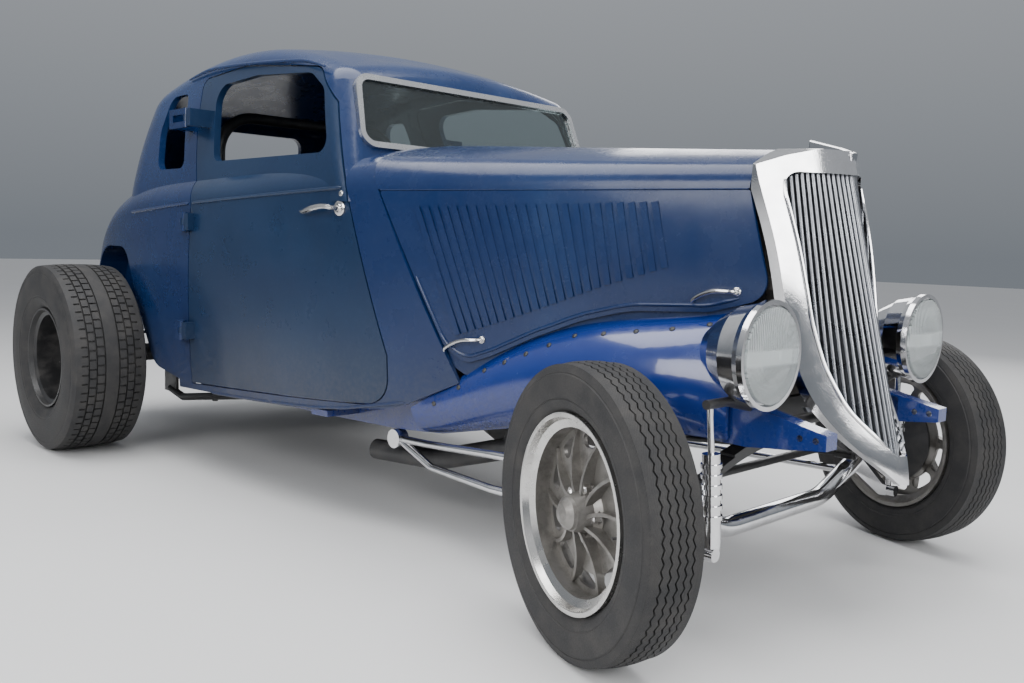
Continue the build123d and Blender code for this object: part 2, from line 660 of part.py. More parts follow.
def shell_front(points, radii):
    """A prism along the car from a front outline in Y and Z."""
    path = FilletPolyline(*points, radius=list(radii), close=True)
    return Plane(origin=(-200, 0, 0), x_dir=(0, 1, 0), z_dir=(1, 0, 0)) * extrude(make_face(path), 700)


SHELL_TOP = ((-300.0, 250.0), (300.0, 250.0), (300.0, 1040.0), (254.0, 1086.0), (186.0, 1118.0),
             (96.0, 1147.0), (0.0, 1156.0), (-96.0, 1147.0), (-186.0, 1118.0), (-254.0, 1086.0),
             (-300.0, 1040.0))
SHELL_CAP = ((168.0, 1146.0), (170.0, 1166.0), (130.0, 1181.0), (48.0, 1204.0), (46.0, 1198.0),
             (46.0, 1160.0), (90.0, 1160.0))        # x and z
SHELL_CAP_HALF_W = 13.0
SHELL_TOP_RADII = (5.0, 5.0, 20.0, 50.0, 200.0, 300.0, 700.0, 300.0, 200.0, 50.0, 20.0)
GRILLE_OUTLINE = ((-26.0, 424.0), (26.0, 424.0), (110.0, 530.0), (148.0, 640.0), (168.0, 745.0),
                  (206.0, 1110.0), (-206.0, 1110.0), (-168.0, 745.0), (-148.0, 640.0), (-110.0, 530.0))
GRILLE_RADII = (14.0, 14.0, 200.0, 200.0, 300.0, 42.0, 42.0, 300.0, 200.0, 200.0)


def on_v(z, y, depth):
    """Front x of the grille's V at one level and distance off the centre, set back by depth."""
    rows = SHELL_SECTIONS
    for low, high in zip(rows, rows[1:]):
        if z <= high[0] or high is rows[-1]:
            share = (z - low[0]) / (high[0] - low[0])
            side, centre, half = [low[i] + share * (high[i] - low[i]) for i in (2, 3, 4)]
            break
    bulge = 4 * GRILLE_BULGE * (y / half) * (1 - y / half)
    return centre + (side - centre) * y / half + bulge - depth


def grille_half(z):
    """Half-width of the grille's opening at one level."""
    rows = ((424.0, 26.0), (530.0, 100.0), (640.0, 142.0), (745.0, 168.0), (1110.0, 206.0))
    for (z0, w0), (z1, w1) in zip(rows, rows[1:]):
        if z <= z1:
            return w0 + (z - z0) * (w1 - w0) / (z1 - z0)
    return rows[-1][1]


def crown_z(y):
    """Height of the shell's top edge above a point off the centre line."""
    rows = sorted((row for row in SHELL_TOP if row[0] >= 0 and row[1] > 1000.0), key=lambda row: row[0])
    for (y0, z0), (y1, z1) in zip(rows, rows[1:]):
        if y <= y1:
            return z0 + (y - y0) * (z1 - z0) / (y1 - y0)
    return rows[-1][1]


def bar_foot(y):
    """Level where a bar meets the opening's slanting lower edge."""
    z = 424.0
    while grille_half(z) < y + BAR_R and z < 1100.0:
        z += 2.0
    return z - 10.0


def shell_cap():
    """The bright cap along the shell's ridge, long and low, with its upper edges rounded."""
    cap = side_prism(SHELL_CAP, -SHELL_CAP_HALF_W, SHELL_CAP_HALF_W)
    crest = [edge for edge in cap.edges().filter_by(Axis.Y, reverse=True) if edge.center().Z > 1172]
    return fillet(crest, 5)


def build_grille():
    """The bright shell, and the upright bars with the rails that carry them."""
    outer = loft([shell_plan(*row) for row in SHELL_SECTIONS])
    inner_rows = [(z, rear - 60.0, side, centre, half) for z, rear, side, centre, half in SHELL_SECTIONS]
    inner = loft([shell_plan(*row, inset=SHELL_WALL) for row in inner_rows])
    top = Plane(origin=(165, 0, 0), x_dir=(0, 1, 0), z_dir=(cos(SHELL_TOP_TILT), 0, -sin(SHELL_TOP_TILT)))
    crown = FilletPolyline(*SHELL_TOP, radius=list(SHELL_TOP_RADII), close=True)
    keep = top * (Pos(0, 0, -400) * extrude(make_face(crown), 800))
    ceiling = [(y, z - SHELL_WALL) for y, z in SHELL_TOP[3:10]]
    below = make_face(Polyline((-400, 200), (400, 200), (400, 1000), *ceiling, (-400, 1000), close=True))
    lower = top * (Pos(0, 0, -600) * extrude(below, 1200))
    opening = shell_front(GRILLE_OUTLINE, GRILLE_RADII)
    rear, back = hood_front_x(HOOD_BELT_Z) + PANEL_GAP, hood_front_x(1300.0) + PANEL_GAP
    hood_room = side_prism([(-100, HOOD_BELT_Z), (rear, HOOD_BELT_Z), (back, 1300), (-100, 1300)], -400, 400)
    shell = (outer & keep).cut(inner & lower, opening, hood_room)
    write("grille_shell", fused(shell, shell_cap()))
    cavity = loft([shell_plan(*row, inset=SHELL_WALL + SEAT) for row in inner_rows])
    pitch = 196.0 / BARS_PER_SIDE
    bars = []
    for count in range(-BARS_PER_SIDE, BARS_PER_SIDE + 1):
        y = count * pitch
        low_z, high_z = bar_foot(abs(y)), crown_z(abs(y)) - SHELL_WALL - BAR_TOP_GAP
        x_low = on_v(low_z, abs(y), SHELL_WALL + BAR_R + BAR_SETBACK) - BAR_FOOT_SETBACK
        x_high = on_v(high_z, abs(y), SHELL_WALL + BAR_R + BAR_SETBACK)
        nose = rod((x_low, y, low_z), (x_high, y, high_z), BAR_R)
        edges = [(x_low, low_z), (x_high, high_z), (x_high - BAR_DEPTH, high_z), (x_low - BAR_DEPTH, low_z)]
        web = side_prism(edges, y - BAR_R * 0.6, y + BAR_R * 0.6)
        bars += [nose, web]
    rails = []
    for z in GRILLE_RAILS:
        for side in (1, -1):
            x0, x1 = on_v(z, 0, SHELL_WALL + 18), on_v(z, 260, SHELL_WALL + 2)
            points = [(x0, 0), (x1, side * 260), (x1 - 10, side * 260), (x0 - 10, 0)]
            rails.append(plan_prism(points, z, z + 12) & cavity)
    write("grille_bars", fused(*bars, *rails))


def build_lamps():
    """Two headlamps: round shells, lenses and their stalks."""
    x, y, z = LAMP_POS
    profile = [(0, LAMP_R), (-14, LAMP_R), (-30, LAMP_R - 8), (-75, LAMP_R * 0.86), (-120, LAMP_R * 0.66),
               (-160, LAMP_R * 0.40), (-LAMP_DEPTH, 0), (-12, 0), (-12, LAMP_R - 14), (0, LAMP_R - 10)]
    shells = []
    lenses = []
    for side in (1, -1):
        shells.append(lathe(profile, (x, side * y, z), (1, 0, 0)))
        lens = [(-12 + SEAT, 0), (-12 + SEAT, LAMP_R - 16), (4, LAMP_R - 16), (13, LAMP_R * 0.5), (17, 0)]
        lenses.append(lathe(lens, (x, side * y, z), (1, 0, 0)))
    write("headlamp_shells", *shells)
    write("headlamp_lenses", *lenses)


def lamp_bars():
    """The outriggers that carry the lamps and the front shocks from the rails."""
    pieces = []
    for side in (1, -1):
        bar = bent_rod([(112, side * 333.7, 545), (112, side * 430, 566), (112, side * 512, 566)], 60, 11)
        stalk = rod((112, side * LAMP_POS[1], 566), (112, side * LAMP_POS[1], LAMP_POS[2] - 102.5), 11)
        pieces.append(bar + stalk)
    return pieces


# Outer face of the left rail seen from above: x, y
RAIL_PLAN = ((330.0, 331.0), (60.0, 331.0), (-500.0, 352.0), (-1000.0, 432.0), (-1600.0, 480.0),
             (-2400.0, 500.0), (-3400.0, 500.0))


# The rail seen from the side, kicked up over both axles: x, z along its top, then back along its bottom
RAIL_PROFILE = (
    (312.0, 470.0), (312.0, 506.0), (120.0, 546.0), (-60.0, 560.0), (-350.0, 545.0), (-700.0, 500.0),
    (-1100.0, 440.0), (-1560.0, 428.0), (-2300.0, 424.0), (-2520.0, 470.0), (-2700.0, 590.0),
    (-2990.0, 590.0), (-3180.0, 500.0), (-3380.0, 480.0), (-3380.0, 420.0), (-3180.0, 430.0),
    (-2990.0, 480.0), (-2700.0, 480.0), (-2520.0, 360.0), (-2300.0, 300.0), (-1526.0, 300.0),
    (-1117.0, 307.0), (-914.0, 321.0), (-644.0, 377.0), (-300.0, 437.0), (-25.0, 449.0), (105.0, 446.0),
)


def rail_y(x):
    """Distance of the rail's outer face from the centre line."""
    for (x0, y0), (x1, y1) in zip(RAIL_PLAN, RAIL_PLAN[1:]):
        if x >= x1:
            return y0 + (x - x0) * (y1 - y0) / (x1 - x0)
    return RAIL_PLAN[-1][1]


def web_y(x):
    """How far a crossmember may reach into the rail's channel at its forward side."""
    return rail_y(x) - RAIL_SHEET - SEAT


def rail_solid():
    """The left frame rail, a channel open to the inside: its side profile met by its plan."""
    plan = list(RAIL_PLAN)
    inner = [(x, y - RAIL_W) for x, y in reversed(plan)]
    web = [(x, y - RAIL_SHEET) for x, y in plan]
    past = [(x, y - RAIL_W - 20) for x, y in reversed(plan)]
    whole = side_prism(RAIL_PROFILE, 200, 600) & plan_prism(plan + inner, 200, 700)
    face = offset(make_face(Polyline(*RAIL_PROFILE, close=True)), amount=-RAIL_SHEET)
    pocket = Plane(origin=(0, 600, 0), x_dir=(1, 0, 0), z_dir=(0, -1, 0)) * extrude(face, 400)
    return whole - (pocket & plan_prism(web + past, 200, 700) & box((-3370, 200, 200), (200, 600, 700)))


def inner_body(gap):
    """The space inside the body's walls, kept off them by a gap."""
    return body_loft(TUB_SECTIONS, inset=BODY_WALL + gap, drop=300.0)


def cross_bar(x, z, radius):
    """A round crossmember whose ends stand in both rails' channels."""
    reach = web_y(x + radius)
    return rod((x, -reach, z), (x, reach, z), radius)


def build_frame():
    """Two rails with their body mounts, the crossmembers between them and the lamps' outriggers."""
    mounts = [box((x - 40, rail_y(x + 40) - 3, 330), (x + 40, 700, 350)) for x in BODY_MOUNT_X]
    reach = fused(*mounts) & inner_body(SEAT)
    rail = fused(rail_solid(), *reach.solids())
    for x in BUMPER_HOLE_X:
        rail = rail - rod((x, 200, BUMPER_HOLE_Z), (x, 400, BUMPER_HOLE_Z), BUMPER_HOLE_R)
    write("frame_rails", *both(rail))
    half, foot_z = 60.0, SPRING_TOP_Z + SEAT
    reach = web_y(half)
    front = side_prism([(half, foot_z), (half, 535), (40, 544), (-40, 544), (-half, 535), (-half, foot_z)],
                       -reach, reach)
    x, radius, high, dip = -1450.0, 18.0, 330.0, GEARBOX_REST_Z
    y = web_y(x + radius)
    middle = bent_rod([(x, -y, high), (x, -230, high), (x, -150, dip), (x, 150, dip), (x, 230, high),
                       (x, y, high)], 40, radius)
    engine_mount = box((-530, ENGINE_HALF_W + SEAT, 420), (-470, web_y(-470), 450))
    write("crossmembers", front, cross_bar(150, 500, 14), middle, cross_bar(PIVOT_AT[0], PIVOT_AT[1], 20),
          cross_bar(-2990, 540, 26), *both(engine_mount), *lamp_bars())


def perch(side):
    """The post on the axle that the spring's shackle hangs from."""
    y, z = PERCH_EYE
    post = box((-20, y - 14, z - 62), (20, y + 14, z))
    eye = rod((-20, y, z), (20, y, z), 16)
    solid = fused(post, eye) - rod((-40, y, z), (40, y, z), SHACKLE_PIN_R + HINGE_PIN_FIT)
    return solid if side > 0 else mirror(solid, about=Plane.XZ)


def shock_bracket(side):
    """The plate on the axle that reaches forward to the shock's lower eye."""
    end = SHOCK_BOTTOM[0] - 12 - SEAT
    points = [(-10, 300), (10, 310), (end - 14, 230), (end, 228), (end, 198), (end - 22, 196), (-10, 262)]
    return side_prism(points, side * SHOCK_BOTTOM[1] - 12, side * SHOCK_BOTTOM[1] + 12)


def build_front_axle():
    """The dropped tube axle with a boss at each end for the kingpin."""
    end = KINGPIN_Y - BOSS_R + 4
    path = [(0, -end, SPINDLE_Z), (0, -560, SPINDLE_Z - 8), (0, -250, AXLE_DROP_Z), (0, 250, AXLE_DROP_Z),
            (0, 560, SPINDLE_Z - 8), (0, end, SPINDLE_Z)]
    axle = bent_rod(path, [300, 260, 260, 300], AXLE_TUBE_R)
    for side in (1, -1):
        boss = Pos(0, side * KINGPIN_Y, SPINDLE_Z) * Cylinder(BOSS_R, BOSS_H)
        axle = fused(axle, boss, perch(side), shock_bracket(side))
    for side in (1, -1):
        axle = axle - Pos(0, side * KINGPIN_Y, SPINDLE_Z) * Cylinder(KINGPIN_R + 0.05, BOSS_H + 20)
    write("front_axle", axle)


def leaf_face(half, top, sag):
    """One leaf seen from the front: two arcs a leaf's thickness apart."""
    with BuildSketch(Plane.YZ) as sketch:
        with BuildLine():
            ThreePointArc((-half, top - sag), (0, top), (half, top - sag))
            Line((half, top - sag), (half, top - sag + SPRING_T))
            ThreePointArc((half, top - sag + SPRING_T), (0, top + SPRING_T), (-half, top - sag + SPRING_T))
            Line((-half, top - sag + SPRING_T), (-half, top - sag))
        make_face()
    return sketch.sketch


def build_front_spring():
    """The transverse leaf spring under the crossmember and the shackles at its ends."""
    eye_y, eye_z = SPRING_EYE
    top = SPRING_TOP_Z - SPRING_LEAVES * SPRING_T
    leaves = []
    for count in range(SPRING_LEAVES):
        half = eye_y - count * 52.0
        sag = (top - eye_z) * (half / eye_y) ** 2
        face = leaf_face(half, top + count * SPRING_T, sag)
        leaves.append(Pos(-SPRING_W / 2, 0, 0) * extrude(face, SPRING_W))
    for side in (1, -1):
        leaves.append(rod((-SPRING_W / 2, side * eye_y, eye_z), (SPRING_W / 2, side * eye_y, eye_z), 13))
    spring = fused(*leaves)
    for side in (1, -1):
        y = side * eye_y
        spring = spring - rod((-60, y, eye_z), (60, y, eye_z), SHACKLE_PIN_R + HINGE_PIN_FIT)
    shackles = []
    out_y, out_z = PERCH_EYE
    for side in (1, -1):
        eyes = (SPRING_EYE, PERCH_EYE)
        pieces = [rod((-34, side * y, z), (34, side * y, z), SHACKLE_PIN_R) for y, z in eyes]
        for x in (-30, 23):
            ends = [rod((x, side * y, z), (x + 7, side * y, z), 14) for y, z in eyes]
            run = Vector(0, side * (out_y - eye_y), out_z - eye_z)
            middle = Vector(x + 3.5, side * (out_y + eye_y) / 2, (out_z + eye_z) / 2)
            bar = Plane(origin=middle, x_dir=(1, 0, 0), z_dir=run.normalized()) * Box(7, 22, run.length)
            pieces += ends + [bar]
        shackles.append(fused(*pieces))
    write("front_spring", spring, *shackles)


def build_hairpins():
    """The bright radius rods on each side, from the axle back to the frame."""
    px, py, pz = HAIRPIN_PIVOT
    pieces = []
    for side in (1, -1):
        upper = bent_rod([(-AXLE_TUBE_R - 2, side * HAIRPIN_Y, 352), (-600, side * HAIRPIN_Y, 322),
                          (-940, side * (py + 12), 286), (px, side * py, pz)], 200, HAIRPIN_R)
        lower = bent_rod([(-AXLE_TUBE_R - 2, side * HAIRPIN_Y, 240), (-600, side * HAIRPIN_Y, 224),
                          (-925, side * (py + 12), 216), (px, side * py, pz)], 60, HAIRPIN_R)
        eye = rod((px, side * (py - 20), pz), (px, side * (py + 20), pz), 30.7)
        y = side * HAIRPIN_Y
        clamp = box((-AXLE_TUBE_R - 20, y - 16, 224), (-AXLE_TUBE_R - SEAT, y + 16, 366))
        pieces.append(upper + lower + eye + clamp)
    write("radius_rods", *pieces)


def build_shocks():
    """Tubular front shocks up to the outriggers, and coil-over shocks at the rear axle."""
    bodies = []
    for side in (1, -1):
        x0, y0, z0 = SHOCK_BOTTOM
        x1, y1, z1 = SHOCK_TOP
        low = (x0, side * y0, z0)
        high = (x1, side * y1, z1 - 30.8)
        split = (x0 + (x1 - x0) * 0.62, side * (y0 + (y1 - y0) * 0.62), z0 + (z1 - z0) * 0.62)
        start, reach = Vector(*low), Vector(*split) - Vector(*low)
        rings = []
        for count in range(SHOCK_RINGS):
            along = 0.30 + 0.66 * count / SHOCK_RINGS
            rings.append(rod(start + reach * along, start + reach * (along + 0.045), SHOCK_R + 4))
        shock = fused(rod(low, split, SHOCK_R), rod(split, high, 8), *rings)
        eye = rod((x0 - 12, side * y0, z0 - 18), (x0 + 12, side * y0, z0 - 18), 17)
        bodies.append(shock + eye)
        x, y = COIL_AT[0], side * COIL_AT[1]
        neck = rod((x, y, 300), (x - 9.6, y, 340), 12)
        coil = rod((x - 9.6, y, 340), (-2985, y, 500), 24)
        low_eye = rod((x, y - 20, 300), (x, y + 20, 300), 18)
        high_eye = rod((-2985, y - 16, 500.5), (-2985, y + 16, 500.5), 13)
        bodies.append(fused(neck, coil, low_eye, high_eye))
    write("shocks", *bodies)


def steered(side, solid):
    """Turn a piece of the front wheel about its kingpin to the parked angle."""
    pin = (0, side * KINGPIN_Y, 0)
    return Pos(*pin) * (Rot(0, 0, STEER_REST) * (Pos(0, -side * KINGPIN_Y, 0) * solid))


def build_knuckle(side):
    """The knuckle: a fork round the axle's boss, the kingpin, spindle, backing plate and arm."""
    name = "left" if side > 0 else "right"
    y = KINGPIN_Y
    half = BOSS_H / 2 + 1.0
    lugs = Pos(0, y, SPINDLE_Z + half + 10) * Cylinder(BOSS_R, 20)
    lugs = lugs + Pos(0, y, SPINDLE_Z - half - 10) * Cylinder(BOSS_R, 20)
    web = box((-24, y + BOSS_R + 1.5, SPINDLE_Z - half - 20), (24, y + BOSS_R + 15, SPINDLE_Z + half + 20))
    ties = box((-24, y, SPINDLE_Z + half), (24, y + BOSS_R + 15, SPINDLE_Z + half + 20))
    ties = ties + box((-24, y, SPINDLE_Z - half - 20), (24, y + BOSS_R + 15, SPINDLE_Z - half))
    pin = Pos(0, y, SPINDLE_Z) * Cylinder(KINGPIN_R, 2 * half + 40)
    spindle = rod((0, y + BOSS_R + 10, SPINDLE_Z), (0, FRONT_TRACK_HALF + 52, SPINDLE_Z), SPINDLE_R)
    plate = rod((0, y + BOSS_R + 10, SPINDLE_Z), (0, y + BOSS_R + 16, SPINDLE_Z), FRONT_DRUM_R)
    arm = fused(box((-STEER_ARM, y - 14, ARM_Z - 7), (10, y + 12, ARM_Z + 7)),
                Pos(-STEER_ARM, y - 1, ARM_Z) * Cylinder(15, 14))
    arm = arm - Pos(0, y, SPINDLE_Z) * Cylinder(BOSS_R + 2, BOSS_H + 2)
    knuckle = fused(lugs, web, ties, pin, spindle, plate, arm)
    if side < 0:
        knuckle = mirror(knuckle, about=Plane.XZ)
    write("knuckle_" + name, steered(side, knuckle))


def rim_ring(half, r, inner, outer, at):
    """A wheel's rim: each step is (in from the edge, down from the flange), mirrored to the other edge."""
    near = [(-half, r)] + [(-half + along, r - down) for along, down in inner]
    back = [(-half + along, r - down) for along, down in outer]
    far = [(-along, radius) for along, radius in reversed(near)]
    turned = [(-along, radius) for along, radius in back]
    return lathe(near + far + turned + back[::-1], at, (0, 1, 0))


def build_front_wheel(side):
    """A deep-dish cast wheel with curved ribs, its drum and its tyre."""
    name = "left" if side > 0 else "right"
    half = FRONT_RIM_W / 2
    r = FRONT_RIM_R
    at = (0, FRONT_TRACK_HALF, SPINDLE_Z)
    rim = rim_ring(half, r, inner=((0, 10), (16, 16), (24, 34)), outer=((12, 0), (14, 10), (22, 24)), at=at)
    bore_r = SPINDLE_R + HINGE_PIN_FIT
    hub = lathe([(-8, bore_r), (-8, 62), (4, 62), (18, 48), (54, 40), (54, bore_r)], at, (0, 1, 0))
    dish = lathe([(-8, 60), (-8, r - 30), (2, r - 30), (2, 60)], at, (0, 1, 0))
    wheel = rim + hub + dish
    windows, ribs = [], []
    kidney = extrude(SlotArc(CenterArc((0, 0), 156, 10, 16), 34), 60)
    curve = extrude(SlotArc(ThreePointArc((44, 0), (112, 19), (184, 0)), 8), 60)
    for count in range(SPOKES):
        windows.append(wheel_turned(count, kidney))
        ribs.append(wheel_turned(count, curve))
    limit = lathe([(-4, 30), (-4, 188), (8, 188), (16, 150), (34, 62), (38, 30)], at, (0, 1, 0))
    wheel = fused(wheel.cut(*windows), *[solid for rib in ribs for solid in (rib & limit).solids()])
    cap = lathe([(54, 0), (54, 38), (62, 36), (74, 22), (78, 0)], at, (0, 1, 0))
    wheel = wheel + cap
    drum_y = KINGPIN_Y + BOSS_R + 18
    reach = FRONT_TRACK_HALF - 8 - drum_y
    drum = lathe([(0, FRONT_DRUM_R), (reach, FRONT_DRUM_R), (reach, bore_r), (reach - 10, bore_r),
                  (reach - 10, FRONT_DRUM_R - 10), (0, FRONT_DRUM_R - 10)], (0, drum_y, SPINDLE_Z), (0, 1, 0))
    tyre = tyre_solid(FRONT_TYRE_R, FRONT_TYRE_W, r, FRONT_RIM_W, at, 22.0)
    pieces = {"front_wheel_": fused(wheel, drum), "front_tyre_": tyre}
    for prefix, piece in pieces.items():
        turned = piece if side > 0 else mirror(piece, about=Plane.XZ)
        write(prefix + name, steered(side, turned))


def wheel_turned(count, solid):
    """A piece drawn on the wheel's face, stood up in the left front wheel and turned to its place."""
    face = Plane(origin=(0, FRONT_TRACK_HALF + 50, SPINDLE_Z), x_dir=(1, 0, 0), z_dir=(0, -1, 0))
    return face * (Rot(0, 0, count * 360 / SPOKES) * solid)


def tyre_solid(radius, width, rim_r, rim_w, at, shoulder):
    """A tyre: bead, bulged sidewall, rounded shoulder and a crowned tread."""
    half = width / 2
    bead, bead_r = rim_w / 2 - 12, rim_r + SEAT
    side_r = rim_r + (radius - rim_r) * 0.45
    wall_r, mid_r, tread_r = radius - shoulder, radius - shoulder * 0.42, radius - 5
    edge = half - shoulder
    with BuildSketch() as sketch:
        with BuildLine():
            Line((-bead, bead_r), (bead, bead_r))
            ThreePointArc((bead, bead_r), (half - 2, side_r - 20), (half, side_r))
            Line((half, side_r), (half - 4, wall_r))
            ThreePointArc((half - 4, wall_r), (half - 8, mid_r), (edge, tread_r))
            ThreePointArc((edge, tread_r), (0, radius), (-edge, tread_r))
            ThreePointArc((-edge, tread_r), (-half + 8, mid_r), (-half + 4, wall_r))
            Line((-half + 4, wall_r), (-half, side_r))
            ThreePointArc((-half, side_r), (-half + 2, side_r - 20), (-bead, bead_r))
        make_face()
    turned = revolve(sketch.sketch, axis=Axis.X)
    return Plane(origin=at, x_dir=(0, 1, 0), z_dir=(1, 0, 0)) * turned


def build_rear_wheel(side):
    """A wide steel wheel with a deep outer dish, its drum and its wide tyre."""
    name = "left" if side > 0 else "right"
    half = REAR_RIM_W / 2
    r = REAR_RIM_R
    at = (-WHEELBASE, REAR_TRACK_HALF, REAR_TYRE_R)
    rim = rim_ring(half, r, inner=((0, 8), (18, 14), (26, 28)), outer=((12, 0), (14, 8), (22, 18)), at=at)
    disc_in = -REAR_DISC_INSET
    disc = lathe([(disc_in, REAR_SHAFT_R), (disc_in, 60), (-52, 110), (-72, 150), (-72, r - 22),
                  (-64, r - 22), (-64, 154), (-44, 112), (-50, 62), (-50, REAR_SHAFT_R)], at, (0, 1, 0))
    wheel = rim + disc
    drum_at = (-WHEELBASE, REAR_DRUM_Y, REAR_TYRE_R)
    long, step = REAR_DRUM_LEN, REAR_DRUM_LEN - 14
    drum = lathe([(0, DRUM_BORE_R), (0, REAR_DRUM_R - 8), (step, REAR_DRUM_R), (step, 100), (long, 100),
                  (long, 0), (long - 20, 0), (long - 20, DRUM_BORE_R)], drum_at, (0, 1, 0))
    stub = [(long, 0), (long, REAR_SHAFT_R), (long + 40, REAR_SHAFT_R), (long + 40, 0)]
    cap = lathe(stub, drum_at, (0, 1, 0))
    drum = drum + cap
    tyre = tyre_solid(REAR_TYRE_R, REAR_TYRE_W, r, REAR_RIM_W, at, 34.0)
    pieces = {"rear_wheel_": fused(wheel, drum), "rear_tyre_": tyre}
    for prefix, piece in pieces.items():
        turned = piece if side > 0 else mirror(piece, about=Plane.XZ)
        write(prefix + name, turned)


def build_rear_axle():
    """The live axle: housing, round centre and backing plates."""
    drum_y = REAR_DRUM_Y
    x, z = -WHEELBASE, REAR_TYRE_R
    housing = rod((x, -drum_y + 16, z), (x, drum_y - 16, z), 38)
    centre = Pos(x, 0, z) * Sphere(135)
    nose = rod((x, 0, z), (x + 210, 0, z - 6), 62)
    plates = [rod((x, s * (drum_y - 18), z), (x, s * (drum_y - 5), z), REAR_DRUM_R - 4) for s in (1, -1)]
    journal_r = DRUM_BORE_R - HINGE_PIN_FIT
    journals = [rod((x, s * (drum_y - 16), z), (x, s * (drum_y + 30), z), journal_r) for s in (1, -1)]
    end = COIL_AT[0] + 18 + SEAT
    foot = [(x + 15, 360), (x + 15, 410), (x - 55, 340), (end, 320), (end, 280), (x - 45, 280)]
    feet = [side_prism(foot, s * COIL_AT[1] - 12, s * COIL_AT[1] + 12) for s in (1, -1)]
    write("rear_axle", fused(housing, centre, nose, *journals, *plates, *feet))


def build_ladder_bars():
    """Triangulated bars from under the rear axle forward to the frame."""
    pieces = []
    x = -WHEELBASE
    front_x = PIVOT_AT[0]
    front_z = PIVOT_AT[1] - 20 - 16 - SEAT
    for side in (1, -1):
        y = side * 415
        low = bent_rod([(x - 10, y, 214), (x + 118, y, 190), (front_x, y, front_z)], 50, 16)
        high = rod((x + 30, y, 470), (front_x - 40, y, front_z + 4), 14)
        post = rod((x + 420, y, 214), (x + 420, y, 372), 12)
        bracket = box((x - 60, y - 6, 200), (x + 60, y + 6, 500))
        hole = rod((x, y - 20, REAR_TYRE_R), (x, y + 20, REAR_TYRE_R), 38 + SEAT)
        pieces.append(fused(low, high, post, bracket) - hole)
    write("ladder_bars", *pieces)


def build_drive_train():
    """The engine as one plain block, the gearbox behind it and the radiator ahead."""
    front, half = ENGINE_X[0] - SEAT, ENGINE_HALF_W
    write("engine_block", box((ENGINE_X[0], -half, ENGINE_Z[0]), (ENGINE_X[1], half, ENGINE_Z[1])))
    gearbox = lathe([(0, 0), (0, 185), (110, 150), (118, 120), (GEARBOX_LEN - 60, 92), (GEARBOX_LEN, 60),
                     (GEARBOX_LEN, 0)], (front, 0, GEARBOX_Z), (-1, 0, 0))
    shaft_x = front - GEARBOX_LEN - SEAT - 0.5
    shaft = rod((-WHEELBASE + 212, 0, REAR_TYRE_R - 6), (shaft_x, 0, GEARBOX_Z), 38)
    write("drive_line", gearbox, shaft)
    core = side_prism([(70, 544 + SEAT), (20, 1090), (-50, 1090), (0, 544 + SEAT)], -176, 176)
    lugs = both(box((20, 170, 820), (108, 212.35, 850)))
    write("radiator", fused(core, *lugs))


def build_exhaust():
    """A dump pipe on each side, its mouth aimed down by the frame."""
    pieces = []
    for side in (1, -1):
        route = [(x, side * y, z) for x, y, z in EXHAUST_ROUTE]
        pipe = bent_rod(route, EXHAUST_BEND, EXHAUST_R)
        mouth, back = Vector(*route[-1]), Vector(*route[-2]) - Vector(*route[-1])
        inward = back.normalized()
        bore = rod(mouth + inward * EXHAUST_BORE_LEN, mouth - inward * EXHAUST_R, EXHAUST_R - EXHAUST_WALL)
        pieces.append(pipe - bore)
    write("exhaust_pipes", *pieces)


def build_floor():
    """The floor and its tunnel, the firewall, the riser behind the seats, the trunk's floor and the dash."""
    z = FLOOR_Z
    over = [(660, z), (660, z + 8), (172, z + 8), (150, 560), (96, 600)]
    under = [(92, 592), (142, 556), (164, z)]
    left_over, left_under = [[(-y, level) for y, level in reversed(half)] for half in (over, under)]
    profile = make_face(Polyline(*over, *left_over, *left_under, *under, close=True))
    back = Plane(origin=(FLOOR_BACK_X, 0, 0), x_dir=(0, 1, 0), z_dir=(1, 0, 0))
    tunnel = back * extrude(profile, FLOOR_FRONT_X - FLOOR_BACK_X)
    hollow = box((-4000, -164, 0), (0, 164, 592))
    riser = box((FLOOR_BACK_X - 8, -470, z), (FLOOR_BACK_X, 470, 648)) - hollow
    trunk = box((-3380, -480, 640), (FLOOR_BACK_X - 8, 480, 648))
    wall = box((FLOOR_FRONT_X, -530, z), (FLOOR_FRONT_X + 8, 530, 1060)) - hollow
    dash = box((-1330, -560, 960), (-1310, 560, 1120))
    braces = [rod((-1312, y, 1000), (FLOOR_FRONT_X + 2, y, 1000), 10) for y in (-480, 0, 480)]
    column = rod(column_point(-700), column_point(0), COLUMN_R + SEAT)
    floor = tunnel & inner_body(DOOR_CLEAR)
    write("floor_pan", fused(floor, riser, trunk, wall, dash, *braces) - column)


def column_point(along):
    """A point on the steering column's axis, measured from the steering wheel's middle."""
    return tuple(Vector(*WHEEL_AT) + Vector(*WHEEL_LEAN).normalized() * along)


def build_cabin():
    """Steering wheel, seats and roll bar."""
    z = FLOOR_Z + 8 + SEAT
    plane = Plane(origin=Vector(*WHEEL_AT), z_dir=Vector(*WHEEL_LEAN))
    write("steering_wheel", plane * fused(Torus(178, 12), Box(356, 24, 6), Cylinder(34, 16)))
    cushion = box((-2180, 175, z), (-1700, 465, 600))
    back = side_prism([(-2180, 600), (-2080, 600), (-2230, 1130), (-2300, 1130)], 175, 465)
    write("seats", *both(fused(cushion, back)))
    x, y = ROLL_BAR_AT
    hoop = bent_rod([(x, -y, z), (x, -y, 1400), (x, y, 1400), (x, y, z)], 150, 22)
    write("roll_bar", hoop)


